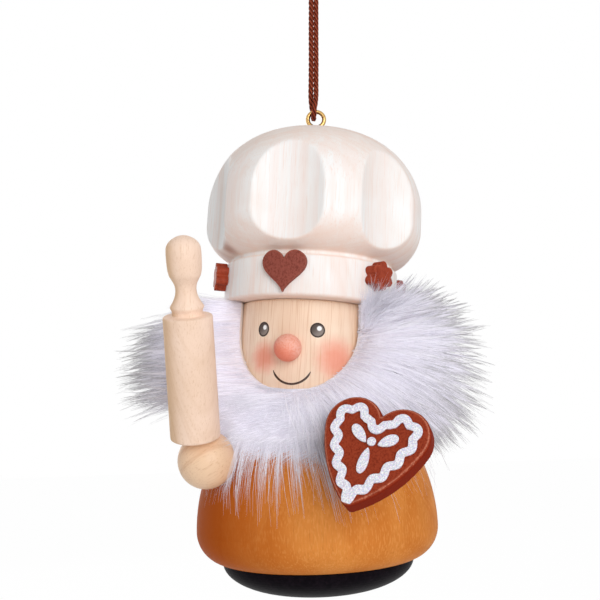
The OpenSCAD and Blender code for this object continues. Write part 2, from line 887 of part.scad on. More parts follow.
// Room for the hands and for what they hold, out to the front
module fur_hand_room() {
    pin_room_r = roller_d / 2 + fur_gap;
    for (a = [right_hand_a, left_hand_a])
        at_hand(a) {
            sphere(hand_r + fur_gap);
            cylinder(r = hand_r + fur_gap, h = BIG);
        }
    at_pin()
        translate([pin_off_x, pin_off_y, hand_r - hand_flat_d - fur_gap]) {
            cylinder(r = pin_room_r, h = BIG);
            translate([-pin_room_r, -BIG, 0])
                cube([2 * pin_room_r, BIG, BIG]);
        }
    on_cake()
        translate([-cake_w / 2 - fur_gap, -fur_gap, -fur_gap])
            cube([cake_w + 2 * fur_gap, cake_h + 2 * fur_gap, BIG]);
}

module fur_pile() {
    color("WhiteSmoke")
        hung()
            difference() {
                fur_solid();
                rotate_extrude() body_outline(fur_gap);
                fur_head_room();
                fur_hand_room();
            }
}

module foot_dowel() {
    color(WOOD)
        hung()
            translate([0, 0, foot_h - foot_dowel_l])
                cylinder(d = dowel_d, h = foot_dowel_l + body_dowel_l);
}

module neck_dowel() {
    color(WOOD)
        on_head()
            translate([0, 0, seat_z - neck_dowel_l])
                cylinder(d = dowel_d, h = 2 * neck_dowel_l);
}

module hat_dowel() {
    color(WOOD)
        on_head()
            translate([0, 0, hat_z - hat_dowel_l])
                cylinder(d = dowel_d, h = 2 * hat_dowel_l);
}

// A tube of even rings swept along a route
function unit(v) = v / norm(v);
function tangent(route, i) =
    unit(route[min(i + 1, len(route) - 1)] - route[max(i - 1, 0)]);
function ring(route, i, r, sides) =
    let (
        t = tangent(route, i),
        side = unit(cross(t, [1, 0, 0.03])),
        up = cross(side, t))
    [for (k = [0:sides - 1]) route[i] + r * (cos(360 * k / sides) * side + sin(360 * k / sides) * up)];

module tube(route, d, sides) {
    n = len(route);
    points = [for (i = [0:n - 1]) each ring(route, i, d / 2, sides)];
    walls = [
        for (i = [0:n - 2], k = [0:sides - 1])
            let (a = i * sides + k, b = i * sides + (k + 1) % sides)
            each [[a, b, b + sides], [a, b + sides, a + sides]]];
    ends = [
        [for (k = [sides - 1:-1:0]) k],
        [for (k = [0:sides - 1]) (n - 1) * sides + k]];
    polyhedron(points, concat(walls, ends));
}

module hanging_cord() {
    color("Brown") tube(cord_route, cord_d, CORD_SIDES);
}

module cord_knot() {
    color("Brown")
        translate([0, 0, knot_z]) {
            sphere(knot_r);
            for (s = [-1, 1])
                rotate([0, s * tail_a, 0])
                    cylinder(d = cord_d, h = knot_r + tail_l);
        }
}

foot();
body();
head();
nose();
hat();
hat_heart();
for (i = [1:STAR_N])
    hat_star(i);
screw_eye();
right_hand();
left_hand();
rolling_pin();
gingerbread_heart();
heart_icing();
fur_hide();
fur_pile();
foot_dowel();
neck_dowel();
hat_dowel();
hand_dowel(right_hand_a);  // right_hand_dowel
hand_dowel(left_hand_a);  // left_hand_dowel
hanging_cord();
cord_knot();
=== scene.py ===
# Looks of the hanging gingerbread baker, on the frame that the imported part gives
import math

import bpy
import numpy as np
from mathutils import Matrix, Vector


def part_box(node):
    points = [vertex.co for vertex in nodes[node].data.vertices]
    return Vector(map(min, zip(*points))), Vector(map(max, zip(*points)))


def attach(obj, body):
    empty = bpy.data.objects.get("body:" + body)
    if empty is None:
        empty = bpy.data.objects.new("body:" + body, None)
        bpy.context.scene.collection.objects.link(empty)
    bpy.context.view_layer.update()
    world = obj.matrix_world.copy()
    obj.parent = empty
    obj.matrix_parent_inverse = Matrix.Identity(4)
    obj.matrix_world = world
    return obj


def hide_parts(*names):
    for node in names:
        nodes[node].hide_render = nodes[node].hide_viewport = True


MM = 0.001
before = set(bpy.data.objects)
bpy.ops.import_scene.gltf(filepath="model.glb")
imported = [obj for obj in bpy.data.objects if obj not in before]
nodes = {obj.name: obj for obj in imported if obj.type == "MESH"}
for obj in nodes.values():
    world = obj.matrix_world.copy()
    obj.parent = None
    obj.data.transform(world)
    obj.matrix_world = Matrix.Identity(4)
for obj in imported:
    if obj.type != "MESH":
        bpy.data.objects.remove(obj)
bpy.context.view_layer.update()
scene = bpy.context.scene
scene.view_settings.view_transform = "Standard"

# The figure's frame: millimetres, up from the middle of the foot's underside
foot_low, foot_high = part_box("foot")
FOOT_UNDER = Vector(((foot_low.x + foot_high.x) / 2, (foot_low.y + foot_high.y) / 2, foot_low.z))
FIGURE_TURN = -16
HEAD_LEAN = 4.8
SEAT_Z = 35.5
HAT_Z = 55.3
HEAD_R = 14.2
HIDE_T = 0.9
BAND_R = 17.7


def turn(axis, degrees):
    return Matrix.Rotation(math.radians(degrees), 4, axis)


def move(x, y, z):
    return Matrix.Translation((x, y, z))


TO_ROW = Matrix.Translation(FOOT_UNDER) @ Matrix.Scale(MM, 4)
LEAN = move(0, 0, HAT_Z) @ turn("Y", HEAD_LEAN) @ move(0, 0, -HAT_Z)
TO_HEAD = TO_ROW @ LEAN
HEAD_UPRIGHT = turn("Y", -HEAD_LEAN)


def figure_point(row_point):
    """A point of the row frame in the figure's millimetres."""
    return TO_ROW.inverted() @ Vector(row_point)


def middle(node):
    low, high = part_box(node)
    return figure_point((low + high) / 2)


# Camera, as the photograph was taken
IMAGE_PX = 600
FOCAL_PX = 780.5
CENTRE_PX = 309.4
SENSOR = 36
CAMERA_REACH = 160
CAMERA_RISE = 32.24
CAMERA_PITCH = math.radians(8.89)
CAMERA_ROLL = math.radians(-1.99)


def add_camera():
    data = bpy.data.cameras.new("camera")
    data.sensor_width = SENSOR
    data.lens = FOCAL_PX / IMAGE_PX * SENSOR
    data.shift_x = (IMAGE_PX / 2 - CENTRE_PX) / IMAGE_PX
    data.clip_start = 10 * MM
    ahead = Vector((0, math.cos(CAMERA_PITCH), math.sin(CAMERA_PITCH)))
    level = Vector((1, 0, 0))
    above = level.cross(ahead)
    right = level * math.cos(CAMERA_ROLL) + above * math.sin(CAMERA_ROLL)
    up = above * math.cos(CAMERA_ROLL) - level * math.sin(CAMERA_ROLL)
    place = Matrix((right, up, -ahead)).transposed().to_4x4()
    place.translation = TO_ROW @ Vector((0, -CAMERA_REACH, CAMERA_RISE))
    camera = bpy.data.objects.new("camera", data)
    camera.matrix_world = place
    scene.collection.objects.link(camera)
    scene.camera = camera


add_camera()


# Node helpers
def colour(red, green, blue):
    """A colour as it looks in the photograph, from 0 to 255, for a shader."""
    part = [c / 255 for c in (red, green, blue)]
    return tuple(c / 12.92 if c <= 0.04045 else ((c + 0.055) / 1.055) ** 2.4 for c in part) + (1,)


def node(owner, kind, inputs=None, **settings):
    """A new node in the tree that the owner is in. An input's value may be another node's output."""
    tree = owner.id_data
    made = tree.nodes.new("ShaderNode" + kind)
    for name, value in settings.items():
        setattr(made, name, value)
    for socket, value in (inputs or {}).items():
        if isinstance(value, bpy.types.NodeSocket):
            tree.links.new(value, made.inputs[socket])
        else:
            made.inputs[socket].default_value = value
    return made


def math_node(operation, a, b=0.0):
    return node(a, "Math", {0: a, 1: b}, operation=operation).outputs[0]


TO_NUMBER = ("LENGTH", "DISTANCE", "DOT_PRODUCT")


def vector_node(operation, *vectors):
    made = node(vectors[0], "VectorMath", dict(enumerate(vectors)), operation=operation)
    return made.outputs["Value" if operation in TO_NUMBER else "Vector"]


def scaled(vector, by):
    return vector_node("MULTIPLY", vector, by)


def axis_part(vector, axis):
    return node(vector, "SeparateXYZ", {0: vector}).outputs[axis]


def noise(vector, scale, detail=2.0, roughness=0.5):
    """Noise with one scale, or with a scale for each axis."""
    if isinstance(scale, tuple):
        vector = scaled(vector, scale)
        scale = 1.0
    inputs = {"Vector": vector, "Scale": scale, "Detail": detail, "Roughness": roughness}
    return node(vector, "TexNoise", inputs).outputs["Fac"]


def between(value, low, high, to_low=0.0, to_high=1.0):
    """value's range from low to high, smoothly turned to another."""
    inputs = {"Value": value, "From Min": low, "From Max": high, "To Min": to_low, "To Max": to_high}
    return node(value, "MapRange", inputs, interpolation_type="SMOOTHSTEP").outputs[0]


def mixed(share, a, b):
    """Colour b over colour a, each given by a node's output or as it looks in the photograph."""
    owner = share if isinstance(share, bpy.types.NodeSocket) else b
    a, b = (c if isinstance(c, bpy.types.NodeSocket) else colour(*c) for c in (a, b))
    return node(owner, "Mix", {0: share, 6: a, 7: b}, data_type="RGBA").outputs[2]


def new_look(name, **sockets):
    """A material and its shader, with plain values on the shader's own sockets."""
    material = bpy.data.materials.new(name)
    material.use_nodes = True
    shader = material.node_tree.nodes["Principled BSDF"]
    for socket, value in sockets.items():
        shader.inputs[socket.replace("_", " ")].default_value = value
    return material, shader


def paint(shader, socket, value):
    shader.id_data.links.new(value, shader.inputs[socket])


def bump(shader, height, depth, strength=1.0):
    """Relief of that depth, in millimetres."""
    made = node(shader, "Bump", {"Height": height, "Distance": depth * MM, "Strength": strength})
    paint(shader, "Normal", made.outputs[0])


def row_mm(shader, lean=0.0):
    """Coordinates in millimetres in the row frame, upright to a leaning piece."""
    place = node(shader, "TexCoord").outputs["Object"]
    inputs = {"Vector": place, "Scale": (1 / MM, 1 / MM, 1 / MM), "Rotation": (0, math.radians(-lean), 0)}
    return node(shader, "Mapping", inputs).outputs[0]


def surface_way(shader):
    """The direction that the surface faces, in the row frame."""
    return node(shader, "TexCoord").outputs["Normal"]


# Wood: growth rings seen edge on, and fine fibres along the figure's axis
RING_SWAY = 9.0


def wood_grain(at, ring_gap, pith):
    slow = noise(at, (0.05, 0.05, 0.018), detail=1.0)
    from_pith = scaled(vector_node("SUBTRACT", at, pith), (1, 1, 0))
    out = vector_node("LENGTH", from_pith)
    bent = math_node("ADD", out, math_node("MULTIPLY", slow, RING_SWAY))
    along = node(at, "CombineXYZ", {0: math_node("DIVIDE", bent, ring_gap)}).outputs[0]
    rings = noise(along, 1.0, detail=2.5, roughness=0.6)
    fibres = noise(at, (4.5, 4.5, 0.16), detail=3.0, roughness=0.65)
    return rings, fibres


def wood(name, pale, dark, ring_gap=2.2, ring_share=0.5, fibre_share=0.25, pith=(31, 47, 0), lean=0.0,
         relief=0.03, **sockets):
    """Bare wood: its material and shader, its tone and the coordinates of its grain."""
    material, shader = new_look(name, **sockets)
    at = row_mm(shader, lean)
    rings, fibres = wood_grain(at, ring_gap, pith)
    ring_line = between(rings, 0.5, 0.72, 0.0, ring_share)
    fibre_line = between(fibres, 0.5, 0.75, 0.0, fibre_share)
    blotch = between(noise(at, 0.11, detail=2.0), 0.35, 0.7, 0.0, 0.18)
    tone = mixed(ring_line, pale, dark)
    tone = mixed(fibre_line, tone, dark)
    tone = mixed(blotch, tone, dark)
    paint(shader, "Base Color", tone)
    bump(shader, fibres, relief, 0.5)
    return material, shader, tone, at


# A mark in the wood, low on the crown
KNOT_MARK = (-16.6, -9.2, 65.2)


def hat_wood():
    """Pale turned wood, with painted shade: warmer and darker on the top and where the form turns under."""
    material, shader, tone, at = wood(
        "hat_wood", (249, 248, 247), (235, 204, 186), ring_gap=3.0, ring_share=0.65,
        fibre_share=0.45, pith=(10, 70, 0), lean=HEAD_LEAN, Roughness=0.55, Specular_IOR_Level=0.2)
    bands = noise(at, (0.42, 0.42, 0.008), detail=2.0, roughness=0.6)
    tone = mixed(between(bands, 0.46, 0.64, 0.0, 0.26), tone, (246, 216, 204))
    facing = axis_part(surface_way(shader), 2)
    # Painted shade: a warm tan where the surface faces down, under the crown
    tone = mixed(between(facing, -0.85, 0.05, 0.45, 0.0), tone, (238, 200, 174))
    # Painted shade: warmer and darker where the surface faces up, on the top
    tone = mixed(between(facing, 0.2, 0.85, 0.0, 0.4), tone, (246, 214, 194))
    centre = HEAD_UPRIGHT @ (TO_HEAD @ Vector(KNOT_MARK) / MM)
    away = vector_node("DISTANCE", at, centre)
    ragged = math_node("ADD", away, math_node("MULTIPLY", bands, 2.0))
    mark = between(ragged, 1.2, 4.2, 0.7, 0.0)
    paint(shader, "Base Color", mixed(mark, tone, (164, 108, 84)))
    return material


def pin_wood():
    """Pale turned wood, with painted shade deepening its tone on the side away from the face."""
    material, shader, tone, _ = wood(
        "pin_wood", (250, 221, 200), (204, 158, 108), ring_gap=2.0, ring_share=0.45,
        fibre_share=0.4, pith=(-52, 24, 0), Roughness=0.55, Specular_IOR_Level=0.25)
    facing = axis_part(surface_way(shader), 0)
    # Painted shade: a deeper, yellower tone where the surface faces -X
    tone = mixed(between(facing, -1.0, -0.25, 0.6, 0.0), tone, (222, 176, 120))
    paint(shader, "Base Color", tone)
    return material


def blush(shader, tone, at, centre, reach, pink, share):
    """Airbrushed colour round a point of the row frame, on top of a tone."""
    away = vector_node("DISTANCE", at, centre)
    mottled = math_node("ADD", away, math_node("MULTIPLY", noise(at, 0.9), 1.2))
    spread = between(mottled, reach * 0.25, reach, share, 0.0)
    blushed = mixed(spread, tone, pink)
    paint(shader, "Base Color", blushed)
    return blushed


def head_place(angle, z, out=0.0):
    """A point of the row frame on the head, at an angle from the figure's front."""
    a = math.radians(angle + FIGURE_TURN)
    r = HEAD_R + out
    return TO_HEAD @ Vector((r * math.sin(a), -r * math.cos(a), z))


# Angle from the figure's front, height and reach of each cheek's colour
CHEEKS = [(-18.8, 44.0, 4.9), (39, 44.2, 6.2)]
CHEEK_SHARE = 0.72


def head_wood():
    """Pale turned wood with a few darker lines of grain, and pink cheeks."""
    material, shader, tone, at = wood(
        "head_wood", (253, 229, 206), (212, 158, 114), ring_gap=2.2, ring_share=0.6,
        fibre_share=0.34, pith=(12, 52, 0), lean=HEAD_LEAN, Roughness=0.55, Specular_IOR_Level=0.3)
    streaks = noise(at, (0.75, 0.75, 0.018), detail=2.0, roughness=0.55)
    from_line = math_node("ABSOLUTE", math_node("SUBTRACT", streaks, 0.53))
    line = between(from_line, 0.0, 0.026, 0.36, 0.0)
    tone = mixed(line, tone, (204, 146, 92))
    for angle, z, reach in CHEEKS:
        centre = HEAD_UPRIGHT @ (head_place(angle, z) / MM)
        tone = blush(shader, tone, at, centre, reach, (240, 132, 104), CHEEK_SHARE)
    return material


def stained_wood():
    """Orange stain, clouded and flaked, with painted shade deepening it on the rolling pin's side."""
    material, shader, tone, at = wood(
        "stained_wood", (222, 140, 66), (168, 86, 22), ring_gap=5.0, ring_share=0.4,
        fibre_share=0.3, pith=(-60, 20, 0), relief=0.04, Roughness=0.5, Specular_IOR_Level=0.03)
    clouds = noise(at, (0.16, 0.16, 0.07), detail=3.0)
    tone = mixed(between(clouds, 0.4, 0.65, 0.0, 0.5), tone, (200, 108, 34))
    flakes = noise(at, (3.4, 3.4, 0.9), detail=2.0)
    tone = mixed(between(flakes, 0.48, 0.68, 0.0, 0.3), tone, (238, 170, 96))
    # Painted shade: a deep orange-brown towards -X, the rolling pin's side
    deep = between(axis_part(at, 0), -24.0, -3.0, 0.9, 0.0)
    paint(shader, "Base Color", mixed(deep, tone, (172, 74, 4)))
    return material


def paint_over(name, tone, deep, grain, relief, **sockets):
    """Paint over wood, a little uneven: its material and shader, its tone and its pores."""
    material, shader = new_look(name, **sockets)
    pores = noise(row_mm(shader), grain, detail=4.0, roughness=0.7)
    painted = mixed(between(pores, 0.42, 0.66), tone, deep)
    bump(shader, pores, relief, 0.6)
    return material, shader, painted, pores


# Width of the painted highlight along the edges of painted pieces
EDGE_HIGHLIGHT_W = 0.5
EDGE_HIGHLIGHT_SAMPLES = 8


def lacquer(name, tone, deep, grain, relief, edge_highlight=None, **sockets):
    """Plain paint, which may have a painted highlight: a lighter tone along its edges."""
    material, shader, painted, _ = paint_over(name, tone, deep, grain, relief, **sockets)
    if edge_highlight:
        # Painted highlight: lighter where the rounded normal turns from the sharp one, along the edges
        rounded = node(shader, "Bevel", {"Radius": EDGE_HIGHLIGHT_W * MM}, samples=EDGE_HIGHLIGHT_SAMPLES).outputs[0]
        sharp = node(shader, "NewGeometry").outputs["Normal"]
        flat = vector_node("DOT_PRODUCT", rounded, sharp)
        painted = mixed(between(flat, 0.86, 0.985, 0.6, 0.0), painted, edge_highlight)
    paint(shader, "Base Color", painted)
    return material


# Direction towards which the nose's painted shade deepens
NOSE_UNDER = (-0.6, -0.2, -0.77)


def nose_paint():
    """Pink paint, with painted shade deepening it towards its lower side."""
    material, shader, painted, _ = paint_over(
        "nose_paint", (248, 184, 164), (240, 156, 132), (2.8, 2.8, 2.8), 0.05,
        Roughness=0.5, Specular_IOR_Level=0.3)
    facing = vector_node("DOT_PRODUCT", surface_way(shader), NOSE_UNDER)
    # Painted shade: a deeper coral on the side facing NOSE_UNDER
    nose_shade = between(facing, -0.2, 0.9, 0.0, 0.8)
    paint(shader, "Base Color", mixed(nose_shade, painted, (238, 122, 90)))
    return material


# Direction out of the gingerbread heart's front
CAKE_FRONT = (-0.293, -0.85, 0.438)


def gingerbread():
    """Brown paint, with painted shade deeper on the heart's sides, and a painted highlight: a light line
    where its front turns to them.
    """
    material, shader, painted, pores = paint_over(
        "gingerbread", (156, 64, 40), (126, 44, 26), (3.0, 3.0, 3.0), 0.05,
        Roughness=0.65, Specular_IOR_Level=0.04)
    facing = vector_node("DOT_PRODUCT", surface_way(shader), CAKE_FRONT)
    # Painted shade: a deeper red-brown on the sides, away from the front
    painted = mixed(between(facing, 0.3, 0.8, 0.8, 0.0), painted, (124, 28, 4))
    # Painted highlight: a light line where the front turns to the sides
    off_side = between(facing, 0.7, 0.82)
    off_front = between(facing, 0.93, 0.985, 1.0, 0.0)
    line = math_node("MULTIPLY", off_side, off_front)
    line = math_node("MULTIPLY", line, between(pores, 0.3, 0.6, 0.8, 0.3))
    paint(shader, "Base Color", mixed(line, painted, (214, 140, 112)))
    return material


def two_tone(name, first, second, grain, detail=3.0, roughness=0.5, relief=None, place=row_mm, **sockets):
    """Two colours in fine noise, which may be a relief too: the material and shader, and the noise."""
    material, shader = new_look(name, **sockets)
    spots = noise(place(shader), grain, detail, roughness)
    paint(shader, "Base Color", mixed(spots, first, second))
    if relief:
        bump(shader, spots, relief)
    return material, shader, spots


def brass():
    """Brass wire, dull in places."""
    material, shader, dull = two_tone("brass", (222, 188, 120), (160, 118, 70), 2.2, Metallic=1.0)
    paint(shader, "Roughness", between(dull, 0.3, 0.7, 0.16, 0.34))
    return material


def icing():
    """White icing full of fine glitter."""
    material, shader = new_look("icing", Roughness=0.32, Specular_IOR_Level=0.6)
    at = row_mm(shader)
    specks = node(shader, "TexVoronoi", {"Vector": at, "Scale": 6.5})
    tint = mixed(0.22, (224, 222, 242), specks.outputs["Color"])
    flakes = between(noise(at, 4.5, detail=2.0), 0.46, 0.6)
    paint(shader, "Base Color", mixed(flakes, tint, (252, 252, 255)))
    bump(shader, specks.outputs["Distance"], 0.06, 0.7)
    return material


# The map that a strand's or a patch's own pattern is laid on
MAP_NAME = "OFBake"


def map_place(shader):
    return node(shader, "UVMap", uv_map=MAP_NAME).outputs[0]


def fur_look(name, tip, tip_from):
    """White fur: along a strand from its root to its tip, and a little different from strand to strand."""
    material, shader = new_look(name, Roughness=0.6, Sheen_Weight=0.15, Specular_IOR_Level=0.2)
    place = map_place(shader)
    up = axis_part(place, 1)
    along = mixed(between(up, 0.0, 0.45), (236, 229, 235), (245, 243, 251))
    along = mixed(between(up, tip_from, 1.0), along, tip)
    shade = between(axis_part(place, 0), 0.45, 1.0, 0.0, 0.5)
    paint(shader, "Base Color", mixed(shade, along, (203, 197, 208)))
    return material


def cord_look():
    """Twisted yarn, its map's first side out of the cord and its second along it, with painted shade where
    the plies face into the cord.
    """
    material, shader = new_look("cord_yarn", Roughness=0.75, Sheen_Weight=0.03, Specular_IOR_Level=0.1)
    place = map_place(shader)
    hairs = noise(place, (26, 160, 1), detail=3.0, roughness=0.7)
    tone = mixed(between(hairs, 0.35, 0.68), (118, 42, 22), (176, 86, 58))
    # Painted shade: dark in the grooves, where a ply faces into the cord
    deep = between(axis_part(place, 0), 0.6, 0.96, 0.9, 0.0)
    paint(shader, "Base Color", mixed(deep, tone, (58, 14, 6)))
    bump(shader, hairs, 0.05, 0.6)
    return material


def eye_look():
    """A painted eye, its map a square round it from -1 to 1: dark rim, grey ball and a white gleam."""
    material, shader = new_look("eye_paint", Roughness=0.6, Specular_IOR_Level=0.05)
    at = vector_node("MULTIPLY_ADD", map_place(shader), (2, 2, 0), (-1, -1, 0))
    out = vector_node("LENGTH", at)
    side = vector_node("DOT_PRODUCT", at, (0.55, -0.6, 0))
    ball = mixed(between(side, -0.5, 0.6), (92, 82, 78), (148, 138, 132))
    rim = mixed(between(out, 0.7, 0.92), ball, (66, 55, 52))
    gleam = between(vector_node("DISTANCE", at, (0.22, 0.24, 0)), 0.24, 0.4, 1.0, 0.0)
    paint(shader, "Base Color", mixed(gleam, rim, (255, 255, 255)))
    return material


# Dressing the CAD nodes
def dress(names, material):
    for name in names:
        slots = nodes[name].data.materials
        slots.clear()
        slots.append(material)


def soften(name, grain, passes):
    """Takes the machined look off a node's edges, with modifiers alone."""
    remesh = nodes[name].modifiers.new("even", "REMESH")
    remesh.mode = "VOXEL"
    remesh.voxel_size = grain * MM
    remesh.use_smooth_shade = True
    smooth = nodes[name].modifiers.new("soft", "SMOOTH")
    smooth.iterations = passes
    smooth.factor = 0.5


STARS = ["hat_star_%d" % i for i in range(1, 6)]
# Grain and passes of the softening
SOFT_EDGES = {"gingerbread_heart": (0.12, 5), "heart_icing": (0.09, 6), "hat_heart": (0.08, 3)}
SOFT_EDGES.update({name: (0.09, 3) for name in STARS})
DOWELS = ["foot_dowel", "neck_dowel", "hat_dowel", "right_hand_dowel", "left_hand_dowel"]


def dress_nodes():
    dress(["head"], head_wood())
    dress(["body"], stained_wood())
    dress(["foot"], lacquer(
        "black_lacquer", (14, 10, 15), (24, 18, 24), (1.1, 1.1, 1.1), 0.04,
        Roughness=0.45, Specular_IOR_Level=0.02))
    dress(["nose"], nose_paint())
    dress(["right_hand", "left_hand"], wood(
        "hand_wood", (241, 205, 170), (196, 138, 92), ring_gap=1.8, ring_share=0.45,
        fibre_share=0.5, pith=(-70, 40, 0), lean=60, Roughness=0.48, Coat_Weight=0.12)[0])
    dress(DOWELS, wood("dowel_wood", (238, 208, 168), (206, 160, 110))[0])
    # The band's heart and the stars get a painted highlight along their edges
    dress(["hat_heart"], lacquer(
        "heart_lacquer", (146, 76, 64), (118, 54, 44), (3.2, 3.2, 2.2), 0.06,
        edge_highlight=(188, 112, 84), Roughness=0.6, Specular_IOR_Level=0.15))
    dress(STARS, lacquer(
        "star_lacquer", (160, 66, 42), (134, 48, 28), (0.8, 0.8, 0.8), 0.04,
        edge_highlight=(196, 104, 76), Roughness=0.5, Specular_IOR_Level=0.12))
    dress(["gingerbread_heart"], gingerbread())
    dress(["heart_icing"], icing())
    dress(["screw_eye"], brass())
    dress(["fur_hide"], two_tone(
        "hide", (246, 238, 232), (222, 208, 200), 3.5, detail=4.0, roughness=0.7, relief=0.08,
        Roughness=0.85, Sheen_Weight=0.3)[0])
    for name, (grain, passes) in SOFT_EDGES.items():
        soften(name, grain, passes)


dress_nodes()


# Meshes
def new_piece(name, points, faces, material, body, maps=None):
    """A mesh piece that rides on a body. maps holds a map place for each corner of each face."""
    mesh = bpy.data.meshes.new(name)
    points = np.asarray(points, np.float32).reshape(-1, 3)
    faces = np.asarray(faces, np.int32)
    sides = faces.shape[1]
    mesh.vertices.add(len(points))
    mesh.vertices.foreach_set("co", points.ravel())
    mesh.loops.add(faces.size)
    mesh.loops.foreach_set("vertex_index", faces.ravel())
    mesh.polygons.add(len(faces))
    mesh.polygons.foreach_set("loop_start", np.arange(0, faces.size, sides, dtype=np.int32))
    mesh.polygons.foreach_set("use_smooth", np.ones(len(faces), bool))
    mesh.update(calc_edges=True)
    if maps is not None:
        layer = mesh.uv_layers.new(name=MAP_NAME)
        layer.uv.foreach_set("vector", np.asarray(maps, np.float32)[faces.ravel()].ravel())
    mesh.materials.append(material)
    mesh.validate()
    piece = bpy.data.objects.new(name, mesh)
    scene.collection.objects.link(piece)
    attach(piece, body)
    return piece


def grid_faces(rows, columns, closed=False):
    """Quads of a grid of points, given row by row."""
    wide = columns if closed else columns - 1
    i, j = np.meshgrid(np.arange(rows - 1), np.arange(wide), indexing="ij")
    k = (j + 1) % columns
    low = i * columns
    high = low + columns
    return np.stack([low + j, low + k, high + k, high + j], -1).reshape(-1, 4)


def carried(points, place):
    """Points, one to a row, moved by a matrix."""
    m = np.array(place)
    return points @ m[:3, :3].T + m[:3, 3]


# Painted face: thin patches of paint on the head's curved front
PAINT_LIFT = 0.03


def on_face(across, z):
    """A point of paint, by its distance round the head from the figure's front and its height."""
    return head_place(math.degrees(across / HEAD_R), z, PAINT_LIFT)


EYES = {"right_eye": (-20.6, 49.4, 2.6, 2.85), "left_eye": (23.5, 49.4, 2.85, 2.8)}
EYE_RINGS = 7
EYE_STEPS = 40


def add_eye(name, angle, z, width, height, material):
    points = []
    maps = []
    for ring in range(EYE_RINGS + 1):
        share = max(ring / EYE_RINGS, 0.02)
        for step in range(EYE_STEPS):
            a = 2 * math.pi * step / EYE_STEPS
            x = share * math.cos(a)
            y = share * math.sin(a)
            points.append(on_face(math.radians(angle) * HEAD_R + x * width / 2, z + y * height / 2))
            maps.append(((x + 1) / 2, (y + 1) / 2))
    new_piece(name, points, grid_faces(EYE_RINGS + 1, EYE_STEPS, closed=True), material, "figure", maps)


MOUTH_MIDDLE = (1.25, 43.0)
MOUTH_R = 3.9
MOUTH_SPAN = math.radians(68)
MOUTH_W = 0.4
MOUTH_STEPS = 48


def add_mouth(material):
    points = []
    for step in range(MOUTH_STEPS + 1):
        share = step / MOUTH_STEPS
        a = -math.pi / 2 + MOUTH_SPAN * (2 * share - 1)
        half = MOUTH_W / 2 * min(1, 0.35 + 6 * min(share, 1 - share))
        for r in (MOUTH_R - half, MOUTH_R + half):
            points.append(on_face(MOUTH_MIDDLE[0] + r * math.cos(a), MOUTH_MIDDLE[1] + r * math.sin(a)))
    new_piece("mouth", points, grid_faces(MOUTH_STEPS + 1, 2), material, "figure")


def add_face():
    eye_paint = eye_look()
    for name, place in EYES.items():
        add_eye(name, *place, eye_paint)
    add_mouth(two_tone("mouth_paint", (48, 26, 16), (78, 46, 30), 2.5, Roughness=0.4)[0])


add_face()

# The cord: its route as in the part's source, in millimetres of the row frame
CORD_D = 1.0
YARN_D = 1.14
CORD_ROUTE = [
    (-0.5, 0, 1.6), (-1.4, 0, 0.2), (-2.3, 0, -1.7), (-2.4, 0, -3.6), (-1.7, 0, -5.6), (-0.85, 0, -7.4),
    (-0.75, 0, -10), (-0.9, 0, -14), (-1.07, 0, -19), (-1.23, 0, -24), (-1.4, 0, -28),
    (-1.54, 0.3, -31), (-1.45, 1, -33.2), (-1.2, 1.34, -35),
    (-1.18, 1.15, -35.72), (-1.14, 0.65, -36.23), (-1.1, 0, -36.42),
    (-1.06, -0.65, -36.23), (-1.02, -1.15, -35.72), (-1, -1.34, -35),
    (-0.65, -1, -33.2), (-0.43, -0.3, -31), (-0.33, 0, -28), (-0.16, 0, -24), (0, 0, -19),
    (0.17, 0, -14), (0.32, 0, -10), (0.5, 0, -7.4), (1.5, 0, -5.6), (2.3, 0, -3.6), (2.3, 0, -1.7),
    (1.4, 0, 0.2), (0.5, 0, 1.6)]
PLIES = 4
PLY_SIDES = 9
PLY_PITCH = 4.8
CORD_STEP = 0.12


def smooth_route(route, step):
    """Points a step apart on a smooth curve through the route."""
    given = np.array(route, float)
    given = np.vstack([2 * given[0] - given[1], given, 2 * given[-1] - given[-2]])
    dense = []
    t = np.linspace(0, 1, 40, endpoint=False)[:, None]
    for a, b, c, d in zip(given, given[1:], given[2:], given[3:]):
        dense.append(b + t * (c - a) / 2 + t**2 * (a - 2.5 * b + 2 * c - d / 2)
                     + t**3 * (1.5 * (b - c) + (d - a) / 2))
    dense = np.vstack(dense + [given[-2:-1]])
    gone = np.concatenate([[0], np.cumsum(steps_of(dense))])
    even = np.linspace(0, gone[-1], max(2, int(gone[-1] / step)))
    return np.stack([np.interp(even, gone, dense[:, i]) for i in range(3)], 1), even


def steps_of(path):
    """Distance from each point of a path to the next."""
    return np.linalg.norm(np.diff(path, axis=0), axis=1)


def sides_of(path):
    """Two directions across a path at each of its points, carried along it without a twist."""
    ahead = np.gradient(path, axis=0)
    ahead /= np.linalg.norm(ahead, axis=1)[:, None]
    across = np.cross(ahead[0], (0.3, 1, 0.2))
    first = []
    for way in ahead:
        across = across - way * across.dot(way)
        across = across / np.linalg.norm(across)
        first.append(across)
    first = np.array(first)
    return first, np.cross(ahead, first)


